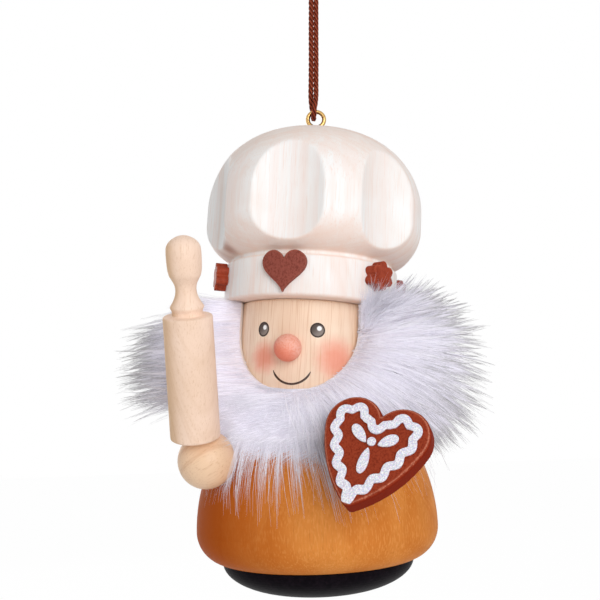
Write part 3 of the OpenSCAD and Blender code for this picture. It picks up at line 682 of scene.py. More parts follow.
def add_twisted(name, routes, diameter, material, body):
    """Twisted plies along one or more routes, as one piece."""
    points = []
    maps = []
    faces = []
    ply_r = diameter / 2 / (1 + math.sqrt(2)) * 1.08
    ply_out = diameter / 2 - ply_r
    round_ply = np.linspace(0, 2 * math.pi, PLY_SIDES, endpoint=False)
    for route in routes:
        path, gone = smooth_route(route, CORD_STEP)
        first, second = sides_of(path)
        for ply in range(PLIES):
            turned = -2 * math.pi * (gone / PLY_PITCH + ply / PLIES)
            out = first * np.cos(turned)[:, None] + second * np.sin(turned)[:, None]
            mid = path + out * ply_out
            one, two = sides_of(mid)
            ring = (one[:, None] * np.cos(round_ply)[None, :, None]
                    + two[:, None] * np.sin(round_ply)[None, :, None])
            start = sum(len(p) for p in points)
            points.append((mid[:, None] + ring * ply_r).reshape(-1, 3))
            faces.append(grid_faces(len(path), PLY_SIDES, closed=True) + start)
            u = (ring * out[:, None]).sum(-1) * 0.49 + 0.5
            v = np.broadcast_to((gone / gone[-1])[:, None], (len(path), PLY_SIDES))
            maps.append(np.stack([u, v], -1).reshape(-1, 2))
    return new_piece(name, np.vstack(points) * MM, np.vstack(faces), material, body, np.vstack(maps))


# The knot: the two ends wrapped round each other, with short tails
KNOT_Z = 2.2
KNOT_TURNS = 2.5
KNOT_R = 1.0
KNOT_HALF_H = 1.25
KNOT_STEPS = 26
TAIL_END = (2.5, 0, 7.0)


def knot_routes():
    coil = []
    for i in range(KNOT_STEPS + 1):
        a = 2 * math.pi * KNOT_TURNS * i / KNOT_STEPS
        z = KNOT_Z - KNOT_HALF_H + 2 * KNOT_HALF_H * i / KNOT_STEPS
        coil.append((KNOT_R * math.cos(a), KNOT_R * math.sin(a), z))
    tails = [[(s * 0.35, s * 0.1, KNOT_Z + 0.2), (s * 0.7, 0.2, KNOT_Z + 1.6), (s * 1.5, 0.1, KNOT_Z + 3.2),
              (s * TAIL_END[0], TAIL_END[1], TAIL_END[2])] for s in (-1, 1)]
    return [coil] + tails


def add_cord():
    yarn = cord_look()
    cord = add_twisted("hanging_cord_twist", [CORD_ROUTE], YARN_D, yarn, "hanger")
    knot = add_twisted("cord_knot_twist", knot_routes(), CORD_D, yarn, "hanger")
    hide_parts("hanging_cord")
    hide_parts("cord_knot")
    path, _ = smooth_route(CORD_ROUTE, CORD_STEP)
    path = path * MM


add_cord()


# Turned pieces: an outline of radius and height, from its lower end to its top
def add_turned(name, outline, sides, place, material, carve=None):
    """A closed turned piece whose outline starts and ends on its axis. carve may lower its radius."""
    outline = np.asarray(outline, float)
    turned = np.linspace(0, 2 * math.pi, sides, endpoint=False)
    r = np.broadcast_to(outline[1:-1, :1], (len(outline) - 2, sides))
    z = np.broadcast_to(outline[1:-1, 1:], r.shape)
    if carve:
        r = carve(r, turned)
    points = np.stack([r * np.cos(turned), r * np.sin(turned), z], -1).reshape(-1, 3)
    low = len(points)
    points = np.vstack([points, [(0, 0, outline[0, 1]), (0, 0, outline[-1, 1])]])
    quads = grid_faces(len(r), sides, closed=True)
    j = np.arange(sides)
    k = (j + 1) % sides
    last = low - sides
    low_end = np.stack([np.full(sides, low), k, j], 1)
    high_end = np.stack([np.full(sides, low + 1), last + j, last + k], 1)
    faces = np.vstack([quads[:, [0, 1, 2]], quads[:, [0, 2, 3]], low_end, high_end])
    return new_piece(name, carried(points, place), faces, material, "figure")


def arc(x, z, r, start, end, steps):
    """Points of an arc, its angles in degrees from level."""
    a = np.radians(np.linspace(start, end, steps))
    return np.stack([x + r * np.cos(a), z + r * np.sin(a)], 1)


# The hat: its turned outline, and six flutes cut straight down the crown
HAT_BORE_R = 3.05
HAT_BORE_TOP = 62.6
BAND_H = 8.1
BAND_ROUND = 0.7
GROOVE_R = 16.6
CROWN_R = 22.4
CROWN_Z = 64.1
CROWN_TOP = 93.0
CROWN_LOW_R = 7.6
CROWN_SIDE_H = 3.6
CROWN_DOME_R = 31.5
HAT_SIDES = 560
# Steps of the outline's arcs: at the band's edges, below the crown, up its side and over its top
EDGE_STEPS, LOW_STEPS, SIDE_STEPS, DOME_STEPS = 7, 30, 46, 26
FLUTE_ANGLES = [2.5, 57.5, 113, 178, 243, 307.5]
FLUTE_R = 14.0
FLUTE_D = 3.0
FLUTE_EDGE = 0.28
# A radius beyond the hat, where no flute cuts
UNCUT_R = 99.0


def hat_outline():
    low_x = CROWN_R - CROWN_LOW_R
    low_z = CROWN_Z + CROWN_LOW_R
    side_z = low_z + CROWN_SIDE_H
    dome_z = CROWN_TOP - CROWN_DOME_R
    rise = side_z - dome_z
    arc_r = (CROWN_DOME_R**2 - CROWN_R**2 - rise**2) / (2 * (CROWN_DOME_R - CROWN_R))
    meet = math.degrees(math.atan2(rise, CROWN_R - arc_r))
    under = -math.degrees(math.acos((GROOVE_R - low_x) / CROWN_LOW_R))
    band_x = BAND_R - BAND_ROUND
    band_z = HAT_Z + BAND_H
    return np.vstack([
        [(0, HAT_BORE_TOP), (HAT_BORE_R, HAT_BORE_TOP)],
        [(r, HAT_Z) for r in (HAT_BORE_R, 8, 13, 16)],
        arc(band_x, HAT_Z + BAND_ROUND, BAND_ROUND, -90, 0, EDGE_STEPS),
        arc(band_x, band_z - BAND_ROUND, BAND_ROUND, 0, 90, EDGE_STEPS),
        [(GROOVE_R + 0.1, band_z), (GROOVE_R, band_z + 0.1), (GROOVE_R, band_z + 0.5)],
        arc(low_x, low_z, CROWN_LOW_R, under, 0, LOW_STEPS),
        arc(CROWN_R - arc_r, side_z, arc_r, 0, meet, SIDE_STEPS),
        arc(0, dome_z, CROWN_DOME_R, meet, 90, DOME_STEPS)[1:]])


def flutes(r, turned):
    """Radius of the hat with its flutes, their edges sanded a little round."""
    far = CROWN_R - FLUTE_D + FLUTE_R
    for flute in FLUTE_ANGLES:
        way = math.radians(flute + FIGURE_TURN - 90)
        off = (turned - way + math.pi) % (2 * math.pi) - math.pi
        inside = FLUTE_R**2 - (far * np.sin(off)) ** 2
        near_side = far * np.cos(off) - np.sqrt(np.maximum(inside, 0))
        cut = np.where((inside > 0) & (np.abs(off) < 1), near_side, UNCUT_R)
        share = np.clip(0.5 + (cut - r) / (2 * FLUTE_EDGE), 0, 1)
        r = cut + (r - cut) * share - FLUTE_EDGE * share * (1 - share)
    return r


def add_hat(material):
    piece = add_turned("carved_hat", hat_outline(), HAT_SIDES, TO_HEAD, material, flutes)
    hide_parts("hat")


add_hat(hat_wood())

# The rolling pin: half of its turned outline, radius and height above the roller's end, from its lower end
PIN_LEAN = 20
PIN_OFF = (-1.5, -1.5)
ROLLER_R = 4.4
HANDLE_R = 3.0
ROLLER_END = 26.95
PIN_END = 40.8
PIN_SIDES = 72
PIN_STEP = 0.2
PIN_OUTLINE = [
    (0, -22), (2, -22), (3.9, -22), (4.3, -21.85), (ROLLER_R, -21.4), (4.38, -18), (4.35, -12), (4.31, -6),
    (4.28, -1.5), (4.27, -0.45), (4.2, -0.15), (3.95, 0), (3.4, 0.05), (2.8, 0.1), (2.64, 0.25), (2.64, 0.8),
    (2.72, 1.05), (2.88, 1.35), (2.92, 1.55), (2.82, 1.8), (2.55, 2.2), (2.2, 2.85), (1.92, 3.6), (1.8, 4.3),
    (1.82, 4.9), (1.95, 5.5), (2.28, 6.2), (2.68, 6.95), (2.88, 7.8), (2.97, 8.9), (HANDLE_R, 9.9),
    (HANDLE_R, 10.9), (2.9, 11.85), (2.58, 12.5), (2.0, 13.1), (1.2, 13.55), (0.6, 13.75), (0, 13.8)]


def pin_place():
    """The hand's middle, with +Z along the rolling pin."""
    return move(*middle("right_hand")) @ turn("X", PIN_LEAN) @ move(*PIN_OFF, 0)


def add_pin(material):
    outline, _ = smooth_route([(r, 0, h + ROLLER_END) for r, h in PIN_OUTLINE], PIN_STEP)
    piece = add_turned("turned_pin", outline[:, [0, 2]], PIN_SIDES, TO_ROW @ pin_place(), material)
    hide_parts("rolling_pin")


add_pin(pin_wood())

# Fur: strands in the figure's millimetres, their angles counted from the middle of the face window
FUR_SEED = 7
WINDOW_A = 4 + FIGURE_TURN
WINDOW_HALF = 11.8
WINDOW_LOW = 37.6
HIDE_R = HEAD_R + HIDE_T
HIDE_LOW = 36.5
HIDE_HIGH = 55.0
FUR_R = 33.0
FUR_OFF = -2.5
FUR_LOW = 27.5
FUR_HIGH = 58.0
FUR_ROUND = 11.0
FUR_MORE = 0.08
FUR_HANG = 3.0
# The ring that the fur is lit from: radius, height, and how far it may lie above a strand or inside it
FUR_MID_R = 22.0
FUR_MID_Z = 43.0
FUR_MID_OVER = 8.0
FUR_MID_IN = 2.5
# Places tried on the hide for each tuft that is wanted
ROOT_TRIES = 12
STRAND_STEPS = 6
STRAND_W = 0.1
# Limits of a strand's length, and the steps in which it is found
SHORTEST = 3.0
LONGEST = 34.0
HALVINGS = 16
# Share of the way round from the back that the fur is left when combed
COMB_LEFT = 0.74
# Rise of the fur at the hide's lower edge, and how much more it is at the upper edge
FREE_RISE = (-1.1, 1.65)
PIN_RISE = (-0.07, -0.27)
BACK_FALL = 0.3
# Angles and heights where the collar and the fur before the band begin
COLLAR_FROM = 0.86
COLLAR_Z = (51.5, 55.0)
BAND_FUR_FROM = 0.88
BAND_FUR_Z = (49.5, 54.4)
BEARD_SIDE = 1.2
CHIN_SIDE = 1.3
NEAR_REACH = 11.0
BODY_R = 23.7
BODY_SIDE_R = 31.6
BELLY_Z = 12.0
UP = np.array([0.0, 0.0, 1.0])
FUR_LIT = np.array([0.0, -0.5, 0.1])
ALONG = np.linspace(0, 1, STRAND_STEPS + 1)
rng = np.random.default_rng(FUR_SEED)


def window_rise(z):
    """Height from where the window's round lower end begins, none above it."""
    return np.minimum(z - (WINDOW_LOW + WINDOW_HALF), 0)


def in_window(angle, z, margin=0.0):
    """True where the hide is cut away for the face, at an angle from the window's middle."""
    across = HIDE_R * np.sin(angle)
    rise = window_rise(z)
    return (np.abs(angle) < math.pi / 2) & (across**2 + rise**2 < (WINDOW_HALF + margin) ** 2)


def body_radius(z):
    lift = np.clip(z - BELLY_Z, 0, BODY_SIDE_R * 0.99)
    return BODY_R - BODY_SIDE_R + np.sqrt(BODY_SIDE_R**2 - lift**2)


def fur_radius(z):
    """Reach of the fur's mass round its own middle, at a height."""
    under = FUR_LOW - FUR_HANG + FUR_ROUND - z
    over = np.clip(np.maximum(z - (FUR_HIGH - FUR_ROUND), under), 0, FUR_ROUND * 0.95)
    return FUR_R - FUR_ROUND + np.sqrt(FUR_ROUND**2 - over**2)


def round_way(angle):
    """Level directions out of the figure at angles from the window's middle."""
    a = angle + math.radians(WINDOW_A)
    return np.stack([np.sin(a), -np.cos(a), np.zeros_like(a)], -1)


def unit(v):
    return v / np.maximum(np.linalg.norm(v, axis=-1, keepdims=True), 1e-9)


def leaned(points):
    return carried(points, LEAN)


def unleaned(points):
    return carried(points, LEAN.inverted())


def ramp(value, start, width):
    """0 up to the start, 1 from a width beyond it, and straight between."""
    return np.clip((value - start) / width, 0, 1)


def on_hide(angle, z):
    return leaned(round_way(angle) * HIDE_R + UP * z[:, None])


def stray(ways, amount):
    """A random turn for each strand's way."""
    return rng.normal(0, amount, ways.shape)


def pin_side(side):
    """1 on the rolling pin's side of the figure and 0 on the other, from the level way's X."""
    return np.clip(0.5 - side * 0.75, 0, 1)


def off_body(points, gap):
    """Moves the points that lie in the body out of it, to a gap from it."""
    r = np.hypot(points[..., 0], points[..., 1])
    floor = body_radius(points[..., 2]) + gap
    inside = (points[..., 2] < SEAT_Z + 0.5) & (r < floor)
    points[..., :2] *= np.where(inside, floor / np.maximum(r, 1e-6), 1.0)[..., None]


def bent(root, start, finish, length):
    """Points along strands that leave their roots one way and end another."""
    t = ALONG[None, :, None]
    length = length[:, None, None]
    lines = root[:, None] + length * ((t - t**2 / 2) * start[:, None] + t**2 / 2 * finish[:, None])
    lines[..., 0] += FUR_OFF * 1.25 * ALONG**1.5
    return lines


def grown(root, start, finish, share):
    """Lengths at which strands end at a share of the fur's reach."""
    low = np.full(len(root), SHORTEST)
    high = np.full(len(root), LONGEST)
    for _ in range(HALVINGS):
        length = (low + high) / 2
        end = root + length[:, None] * (start + finish) / 2
        short = np.hypot(end[:, 0], end[:, 1]) < share * fur_radius(end[:, 2])
        low = np.where(short, length, low)
        high = np.where(short, high, length)
    return (low + high) / 2


def hide_roots(count, near=None):
    """Places on the hide, round the window's edge where near gives a distance to thin out over."""
    tries = count * ROOT_TRIES
    angle = rng.uniform(-math.pi, math.pi, tries)
    z = rng.uniform(HIDE_LOW, HIDE_HIGH, tries)
    keep = ~in_window(angle, z, 0.1)
    if near:
        off = np.hypot(HIDE_R * np.abs(angle) * 0.86, window_rise(z)) - WINDOW_HALF
        keep &= rng.uniform(0, 1, tries) < np.exp(-np.maximum(off, 0) / near)
    return angle[keep][:count], z[keep][:count]


def ruff_lines(angle, z, share, loose=0.1):
    """Lines of fur from the hide, combed away from the face, flatter on the rolling pin's side."""
    high = (z - HIDE_LOW) / (HIDE_HIGH - HIDE_LOW)
    comb = np.sign(angle) * (math.pi - COMB_LEFT * (math.pi - np.abs(angle)))
    side = round_way(comb)[:, 0]
    to_pin = pin_side(side)
    rise = (FREE_RISE[0] + FREE_RISE[1] * high) * (1 - to_pin) + (PIN_RISE[0] + PIN_RISE[1] * high) * to_pin
    share = share * (1 + FUR_MORE * np.clip(side, 0, 1))
    behind = ramp(np.abs(angle), 1.8, 0.6)
    rise = rise - BACK_FALL * behind + rng.normal(0, loose, len(z))
    root = on_hide(angle, z)
    start = unit(round_way(angle) * 0.8 + round_way(comb) * 0.6 + UP * (rise * 0.45)[:, None])
    finish = unit(round_way(comb + rng.normal(0, loose, len(z))) + UP * (rise * 1.15 - 0.08)[:, None])
    finish = finish + stray(finish, loose * 0.8)
    return bent(root, start, finish, grown(root, start, finish, share))


def spread_out(lines, hairs, width, thin, short, sway=0.4):
    """Several hairs round each line, drawing together towards its tip."""
    count = len(lines)
    off = rng.normal(0, 1, (count, hairs, 1, 3)) * width
    pull = 1 - thin * ALONG[None, None, :, None] ** 1.4
    reach = rng.uniform(short, 1.0, (count, hairs, 1))
    at = reach * STRAND_STEPS * ALONG
    low = np.clip(at.astype(int), 0, STRAND_STEPS - 1)
    part = (at - low)[..., None]
    index = np.arange(count)[:, None, None]
    line = lines[index, low] * (1 - part) + lines[index, low + 1] * part
    drift = rng.normal(0, sway, (count, hairs, 1, 3)) * (ALONG**2)[None, None, :, None]
    return (line + off * pull + drift).reshape(count * hairs, STRAND_STEPS + 1, 3)


def ruff(count, hairs, low, high, near=None, width=0.8, thin=0.45, short=0.8, loose=0.1, sway=0.4):
    """Fur from the hide, in tufts that end between a low and a high share of the fur's reach."""
    angle, z = hide_roots(count, near)
    lines = ruff_lines(angle, z, rng.uniform(low, high, len(z)), loose)
    return spread_out(lines, hairs, width, thin, short, sway)


def collar(count):
    """Short fur that fills the place under the hat's band and rises before its lower edge."""
    side = np.sign(rng.uniform(-1, 1, count))
    angle = side * (COLLAR_FROM + (math.pi - COLLAR_FROM) * rng.uniform(0, 1, count) ** 1.6)
    root = on_hide(angle, rng.uniform(*COLLAR_Z, count))
    start = unit(round_way(angle) + stray(root, 0.15))
    free = np.clip(round_way(angle)[:, 0], 0, 1)
    rise = rng.uniform(0.0, 0.8, count) * (0.5 + 0.9 * free)
    finish = unit(round_way(angle * 1.04) + UP * rise[:, None])
    return bent(root, start, finish, rng.uniform(5, 10, count) * (1 + 0.5 * free))


def band_fur(count):
    """Fur that stands up before the band's lower edge, on the left hand's side of the face."""
    angle = BAND_FUR_FROM + 1.1 * rng.uniform(0, 1, count) ** 1.3
    root = on_hide(angle, rng.uniform(*BAND_FUR_Z, count))
    start = unit(round_way(angle) + stray(root, 0.12))
    finish = unit(round_way(angle * 1.05) * 0.55 + UP * rng.uniform(0.1, 1.0, count)[:, None])
    return bent(root, start, finish, rng.uniform(6.0, 10.5, count))


def beard(count, hairs, low, high, thick, short=0.7, thin=0.5):
    """Fur that hangs from the chin over the front of the body, in layers."""
    t = ALONG
    angle = rng.uniform(-BEARD_SIDE, BEARD_SIDE, count)
    layer = rng.uniform(0.1, 1, count)[:, None]
    root_z = HIDE_LOW + rng.uniform(0.0, 1.5, count) + 2.4 * np.abs(angle) ** 2
    end_z = rng.uniform(low, high, count) + 4.4 * np.abs(angle) ** 1.5 - 2.6 * angle
    z = root_z[:, None] + (end_z - root_z)[:, None] * t**1.1
    fan = angle[:, None] * (1 + 0.42 * t**1.4) + rng.normal(0, 0.08, (count, 1)) * t
    puff = layer * thick * np.sin(math.pi * np.clip(t * 0.85 + 0.15, 0, 1)) ** 0.7
    lie = body_radius(np.minimum(z, SEAT_Z)) + 0.4 + puff
    out = np.maximum(HIDE_R + (lie - HIDE_R) * np.clip(t * 3.0, 0, 1), lie * np.clip(t * 4, 0, 1))
    lines = round_way(fan) * out[..., None]
    lines[..., 2] = z
    lines = lines + (leaned(lines[:, :1]) - lines[:, :1]) * (1 - t)[None, :, None]
    return spread_out(lines, hairs, 0.65, thin, short)


def chin_pile(count):
    """Fur that stands out below the chin, its ends to the front."""
    angle = rng.uniform(-CHIN_SIDE, CHIN_SIDE, count)
    down = rng.uniform(0, 1, count) ** 1.25
    top = WINDOW_LOW - 1.3 + 3.4 * np.abs(angle) ** 2
    z = top - (8.0 + 2.0 * angle) * down * rng.uniform(0.75, 1.2, count)
    out = np.where(z > SEAT_Z, HIDE_R, body_radius(np.minimum(z, SEAT_Z)) + 0.4)
    out = out + 1.6 * np.sin(math.pi * np.clip(down * 1.1, 0, 1))
    root = round_way(angle) * out[:, None] + UP * z[:, None]
    root = root + (leaned(root) - root) * (z > SEAT_Z)[:, None]
    start = unit(round_way(angle) * 0.9 - UP * 0.3 + stray(root, 0.25))
    fall = UP * (0.55 + 0.4 * down)[:, None]
    finish = unit(round_way(angle * 1.15) * 0.6 - fall + stray(root, 0.35))
    return bent(root, start, finish, rng.uniform(2.6, 5.2, count) * (1 - 0.2 * down))


def window_edge(count, off, radius):
    """Places a distance off the window's edge, with the ways out of the head and from the window."""
    share = rng.uniform(-1, 1, count)
    side_h = HIDE_HIGH - WINDOW_LOW - WINDOW_HALF
    run = np.abs(share) * (math.pi / 2 * WINDOW_HALF + side_h)
    turned = np.minimum(run / WINDOW_HALF, math.pi / 2)
    extra = np.maximum(run - math.pi / 2 * WINDOW_HALF, 0)
    edge = WINDOW_HALF + off
    across = np.sign(share) * edge * np.sin(turned)
    z = WINDOW_LOW + WINDOW_HALF - edge * np.cos(turned) + extra
    angle = np.arcsin(np.clip(across / radius, -0.999, 0.999))
    out = round_way(angle)
    root = leaned(out * (radius * np.ones(count))[:, None] + UP * z[:, None])
    level = round_way(angle + math.pi / 2) * (np.sign(share) * np.sin(turned))[:, None]
    return root, out, level - UP * np.cos(turned)[:, None]


def fringe(count):
    """Short hairs along the window's edge, over the cut edge of the hide."""
    root, out, away = window_edge(count, rng.uniform(0.0, 1.2, count), HIDE_R - 0.2)
    start = unit(out * 0.7 + away * 0.5 + stray(root, 0.2))
    finish = unit(away + out * 0.25 + stray(root, 0.2))
    return bent(root, start, finish, rng.uniform(2.0, 6.0, count))


def window_tufts(count):
    """Ends of the pile at the cut edge of the hide, leaning over the face."""
    radius = HEAD_R + rng.uniform(0.15, HIDE_T, count)
    root, out, away = window_edge(count, rng.uniform(-0.02, 0.12, count), radius)
    start = unit(out * 0.6 - away * 0.5 + stray(root, 0.25))
    finish = unit(out * 0.6 - away * 0.6 + stray(root, 0.35))
    return bent(root, start, finish, rng.uniform(0.5, 1.2, count))


def near_pile(count):
    """Short pile round the face, on top of the combed fur, its ends all ways."""
    root, out, away = window_edge(count, rng.uniform(0.0, 0.3, count), HIDE_R)
    off = NEAR_REACH * rng.uniform(0, 1, (count, 1)) ** 1.1
    root = root + away * off * 0.75 + out * off * 0.66
    front = round_way(np.zeros(count))
    start = unit(out * 0.5 + front * 0.4 + away * 0.3 + stray(root, 0.3))
    finish = unit(away * 0.6 + out * 0.4 + stray(root, 0.45))
    return bent(root, start, finish, rng.uniform(1.4, 3.2, count))


# What the fur keeps clear of
HAND_R = 5.2
GRAZE = 2.4
BODY_GAP = 0.25
HAND_GAP = 0.3
HAT_GAP = 0.2
BAND_GAP = 0.3
CAKE_TURN = -19
CAKE_TILT = 26
CAKE_ROLL = 18
CAKE_OFF = (0.4, -11.5, 4.95)
CAKE_SIZE = (18.3, 18.2, 3.5)
HANDS = ("right_hand", "left_hand")
# Distance before the head's axis from which a strand can hide the face
FACE_NEAR = 4.0
# Where strands are thinned out, low on both sides: the side, the reach and height of their tips, and a wave
# over their roots with the limit beyond which they go
THINNED = [(-1, 24, 41, (9, 5), -0.35), (1, 9, 25, (31, 17), -0.9)]


def seen_from(points, place):
    """The three coordinates of points, measured from a place."""
    m = np.array(place)
    return np.moveaxis((points - m[:3, 3]) @ m[:3, :3], -1, 0)


def hits(points, clear=0.15):
    """True for each strand that would run into a hand, the heart or the pin, or stand before the pin."""
    far = [np.linalg.norm(points - np.array(middle(hand)), axis=-1) for hand in HANDS]
    bad = np.minimum(*far) < HAND_R + clear
    x, y, z = seen_from(points, pin_place())
    bad |= (np.hypot(x, y) < ROLLER_R + clear) & (z > 0) & (z < ROLLER_END)
    bad |= (np.hypot(x, y) < HANDLE_R + clear) & (z > 0) & (z < PIN_END)
    bad |= (np.abs(x) < ROLLER_R + clear) & (y < 0) & (z > 0) & (z < PIN_END)
    cake = move(*middle("left_hand")) @ turn("Z", CAKE_TURN) @ turn("X", 90 - CAKE_TILT)
    x, y, z = seen_from(points, cake @ move(*CAKE_OFF) @ turn("Z", -CAKE_ROLL))
    wide, high, thick = CAKE_SIZE
    over = (np.abs(x) < wide / 2 + clear) & (y > -clear) & (y < high + clear)
    bad |= over & (z > -clear) & (z < thick + clear)
    return bad.any(axis=1)


def hides_face(points, margin):
    """True for each strand that would stand before the face."""
    local = unleaned(points)
    out = round_way(np.array(0.0))
    across = local @ round_way(np.array(math.pi / 2))
    rise = window_rise(local[..., 2])
    before = (local @ out > FACE_NEAR) & (across**2 + rise**2 < (WINDOW_HALF - margin) ** 2)
    return before.any(axis=1)


def settled(points, margin=0.25):
    """Strands moved out of the body and from under the hat, without those that stand in the way."""
    points = points.copy()
    off_body(points, BODY_GAP)
    for hand in HANDS:
        way = points - np.array(middle(hand))
        far = np.linalg.norm(way, axis=-1)
        clear = HAND_R + HAND_GAP
        grazed = (far > HAND_R - GRAZE) & (far < clear)
        points = points + np.where(grazed, clear / np.maximum(far, 1e-6) - 1, 0)[..., None] * way
    upright = unleaned(points)
    below = HAT_Z - HAT_GAP
    within = np.hypot(upright[..., 0], upright[..., 1]) < BAND_R + BAND_GAP
    upright[..., 2] = np.where(within & (upright[..., 2] > below), below, upright[..., 2])
    points = leaned(upright)
    root_y, root_z = points[:, 0, 1], points[:, 0, 2]
    tip_x, tip_z = points[:, -1, 0], points[:, -1, 2]
    gone = hits(points) | hides_face(points, margin)
    for side, reach, height, (up, deep), limit in THINNED:
        gone |= (side * tip_x > reach) & (tip_z < height) & (np.sin(root_z * up + root_y * deep) > limit)
    return points[~gone]


def fur_ways(points):
    """Directions out of the fur's mass, for an even light on it."""
    flat = points * np.array([1, 1, 0.0])
    ring = unit(flat) * FUR_MID_R + UP * FUR_MID_Z
    ring[..., 2] = np.minimum(ring[..., 2], points[..., 2] + FUR_MID_OVER)
    return unit(points - ring + unit(flat) * FUR_MID_IN)


def add_strands(name, points, width, material, taper=0.85):
    """Strands as tapered ribbons, each turned a little its own way, lit as parts of one mass."""
    count, steps, _ = points.shape
    ahead = unit(np.gradient(points, axis=1))
    # The outer side of each strand's bend faces out
    bend = unit(ahead[:, :1] - ahead[:, -1:])
    front = np.clip(0.5 - points[..., 1:2] / 30, 0, 1)
    mass = unit(bend + 0.45 * fur_ways(points) + FUR_LIT * front)
    out = mass + rng.normal(0, 0.3, (count, 1, 3))
    side = unit(np.cross(ahead, out))
    half = (width / 2 * (1 - taper * ALONG**2))[None, :, None] * rng.uniform(0.7, 1.25, (count, 1, 1))
    edges = carried(np.stack([points - side * half, points + side * half], 2), TO_ROW)
    base = grid_faces(steps, 2)
    faces = (base[None] + (np.arange(count) * steps * 2)[:, None, None]).reshape(-1, 4)
    tone = np.broadcast_to(rng.uniform(0, 1, (count, 1, 1)), (count, steps, 2))
    # The two edges lie a little apart on the map
    nudge = np.array([0.0, 0.004])[None, None, :]
    along = np.broadcast_to(ALONG[None, :, None], (count, steps, 2))
    maps = np.stack([tone * 0.99 + nudge, along], -1).reshape(-1, 2)
    piece = new_piece(name, edges.reshape(-1, 3), faces, material, "figure", maps)
    own = unit(np.cross(side, ahead))
    own = own * np.sign((own * mass).sum(-1, keepdims=True))
    ways = unit(mass * 1.2 + own)
    ways = np.repeat(ways[:, :, None], 2, axis=2).reshape(-1, 3)
    piece.data.normals_split_custom_set_from_vertices(ways.tolist())
    # Light passes between and through real hairs
    piece.visible_shadow = False
    return piece


# Dense wool close to the hide, under the longer fur
WOOL_ANGLES = 72
WOOL_SIDES = 28
WOOL_IN = 4.2
WOOL_BACK = 2.6
WOOL_GAP = 0.4
WOOL_ROUND = 0.7
WOOL_SHIFT = FUR_OFF / 18
# How much it draws in from below and from above on the rolling pin's side
WOOL_PIN_LOW = 5.0
WOOL_PIN_HIGH = 3.5
CHIN_LOW = 30.5
CHIN_REACH = 2.6
CHIN_GAP = 2.4


def squarish(share):
    """A circle's sine or cosine, drawn out towards a square's."""
    return math.copysign(abs(share) ** WOOL_ROUND, share)


def add_wool(material):
    """A closed ring of wool round the head, thin under the chin."""
    points = []
    maps = []
    for i in range(WOOL_ANGLES + 1):
        share = i / WOOL_ANGLES
        angle = 2 * math.pi * share
        way = round_way(np.array(angle))
        to_pin = pin_side(way[0])
        turned = abs(angle - 2 * math.pi * round(share))
        inset = WOOL_IN + WOOL_BACK * ramp(turned, 1.2, 0.8)
        low = FUR_LOW + inset + WOOL_PIN_LOW * to_pin
        high = FUR_HIGH - inset - WOOL_PIN_HIGH * to_pin
        # Under the chin the wool stays below the window
        chin = ramp(1.25 - turned, 0, 0.4)
        low = low + (CHIN_LOW - low) * chin
        across = min(HIDE_R * math.sin(min(turned, math.pi / 2)), WINDOW_HALF)
        edge = WINDOW_LOW + WINDOW_HALF - math.sqrt(WINDOW_HALF**2 - across**2) - CHIN_GAP
        high = high + (min(edge, high) - high) * chin
        reach = (FUR_R - inset - HIDE_R) / 2
        reach = reach + (CHIN_REACH / 2 - reach) * chin
        for j in range(WOOL_SIDES):
            a = 2 * math.pi * j / WOOL_SIDES
            r = HIDE_R + reach + squarish(math.cos(a)) * reach
            z = (low + high) / 2 + squarish(math.sin(a)) * (high - low) / 2
            points.append(leaned(way * r + UP * z + np.array([WOOL_SHIFT * (r - HIDE_R), 0, 0])))
            maps.append((j / WOOL_SIDES, share))
    points = np.array(points)
    off_body(points, WOOL_GAP)
    faces = grid_faces(WOOL_ANGLES + 1, WOOL_SIDES, closed=True)
    piece = new_piece("fur_wool", carried(points, TO_ROW), faces, material, "figure", maps)
    piece.visible_shadow = False


def add_fur():
    """All the strands, from the hide outwards, and the wool below them."""
    white = fur_look("fur", (209, 208, 217), 0.5)
    pale_grey = fur_look("fur_long", (158, 157, 164), 0.55)
    grey = fur_look("fur_ends", (146, 144, 143), 0.74)
    # Each piece's strands, their width, how far they may reach over the face's edge, and their look
    parts = {
        "fur_ruff_under": (ruff(2000, 8, 0.7, 0.92, width=1.1, thin=0.4), STRAND_W * 1.2, 0.0, white),
        "fur_ruff_over": (ruff(2400, 7, 0.88, 1.0, width=1.1, thin=0.35, short=0.7),
                          STRAND_W, 0.0, pale_grey),
        "fur_ruff_front": (ruff(2200, 7, 0.5, 1.0, near=3.5, width=1.0, thin=0.3, short=0.6, loose=0.14),
                           STRAND_W, 0.0, white),
        "fur_guard_hairs": (
            ruff(2100, 6, 0.97, 1.12, width=0.55, thin=0.95, short=0.84, loose=0.13, sway=0.08),
            STRAND_W * 1.6, 0.25, grey),
        "fur_collar": (collar(6500), STRAND_W, 0.1, white),
        "fur_before_band": (band_fur(4500), STRAND_W, 0.1, white),
        "beard_under": (beard(1000, 9, 23.0, 32.0, thick=4.0), STRAND_W * 1.1, 0.1, white),
        "beard_over": (beard(330, 11, 13.5, 26.0, thick=3.0, short=0.6, thin=0.93), STRAND_W, 0.1, white),
        "chin_pile": (chin_pile(14000), STRAND_W, 0.1, white),
        "face_fringe": (fringe(6000), STRAND_W, -0.2, white),
        "window_tufts": (window_tufts(6500), STRAND_W * 1.1, 0.5, white),
        "near_pile": (near_pile(16000), STRAND_W, 0.0, white),
    }
    made = [add_strands(name, settled(points, margin), width, look)
            for name, (points, width, margin, look) in parts.items()]
    add_wool(two_tone(
        "wool", (226, 220, 232), (250, 248, 252), (14, 150, 1), detail=4.0, roughness=0.7, relief=0.5,
        place=map_place, Roughness=0.9, Specular_IOR_Level=0.1)[0])
    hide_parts("fur_pile")


add_fur()


# Light and stage
WORLD_LIGHT = 0.4
FLOOR_DROP = 45
FLOOR_SIZE = 2.4
FLOOR_WHITE = 0.985


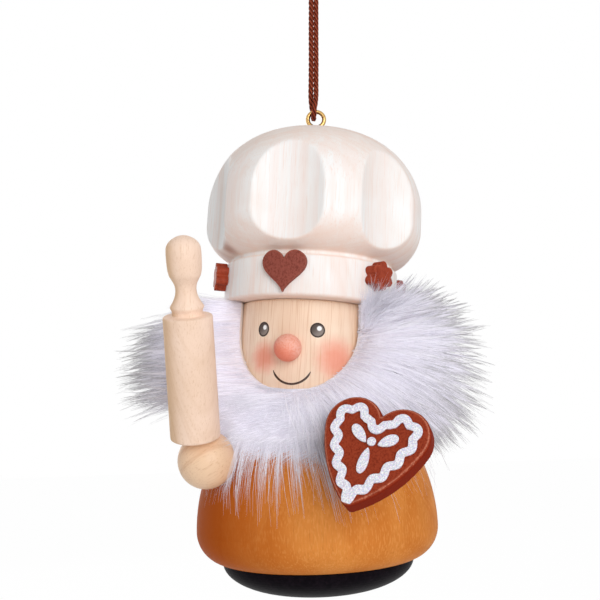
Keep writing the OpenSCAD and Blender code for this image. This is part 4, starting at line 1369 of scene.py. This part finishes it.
def white_if_seen(tree, lit, kind, share=1.0):
    """White for rays straight from the camera, or off metal or glass, and a lit shader for all others."""
    path = node(tree, "LightPath").outputs
    seen = math_node("MAXIMUM", path["Is Camera Ray"], path["Is Glossy Ray"])
    seen = math_node("MULTIPLY", math_node("MAXIMUM", seen, path["Is Transmission Ray"]), share)
    white = node(tree, kind, {"Color": (1, 1, 1, 1), "Strength": 1.0})
    both = node(tree, "MixShader", {0: seen, 1: lit.outputs[0], 2: white.outputs[0]})
    tree.links.new(both.outputs[0], tree.get_output_node("ALL").inputs["Surface"])


def add_world():
    world = bpy.data.worlds.new("studio")
    scene.world = world
    world.use_nodes = True
    tree = world.node_tree
    light = tree.nodes["Background"]
    light.inputs["Color"].default_value = (1, 1, 1, 1)
    light.inputs["Strength"].default_value = WORLD_LIGHT
    white_if_seen(tree, light, "Background")


def add_floor():
    material = bpy.data.materials.new("floor")
    material.use_nodes = True
    tree = material.node_tree
    tree.nodes.remove(tree.nodes["Principled BSDF"])
    matt = node(tree, "BsdfDiffuse", {"Color": (0.92, 0.92, 0.92, 1)})
    white_if_seen(tree, matt, "Emission", FLOOR_WHITE)
    mesh = bpy.data.meshes.new("floor")
    half = FLOOR_SIZE / 2
    z = (TO_ROW @ Vector((0, 0, -FLOOR_DROP))).z
    corners = [(-half, -half, z), (half, -half, z), (half, half, z), (-half, half, z)]
    mesh.from_pydata(corners, [], [(0, 1, 2, 3)])
    mesh.materials.append(material)
    floor = bpy.data.objects.new("floor", mesh)
    scene.collection.objects.link(floor)


LAMPS = {
    "key": ((120, -310, 115), 240, 0.64),
    "fill": ((-260, -200, 90), 260, 0.08),
    "back": ((-120, 300, 150), 240, 0.36),
}
LAMPS_AIM = (0, 0, 55)


def add_lamps():
    aim = TO_ROW @ Vector(LAMPS_AIM)
    for name, (place, size, power) in LAMPS.items():
        data = bpy.data.lights.new(name, "AREA")
        data.energy = power
        data.size = size * MM
        lamp = bpy.data.objects.new(name, data)
        lamp.location = TO_ROW @ Vector(place)
        lamp.rotation_euler = (aim - lamp.location).to_track_quat("-Z", "Y").to_euler()
        scene.collection.objects.link(lamp)


add_world()
add_floor()
add_lamps()
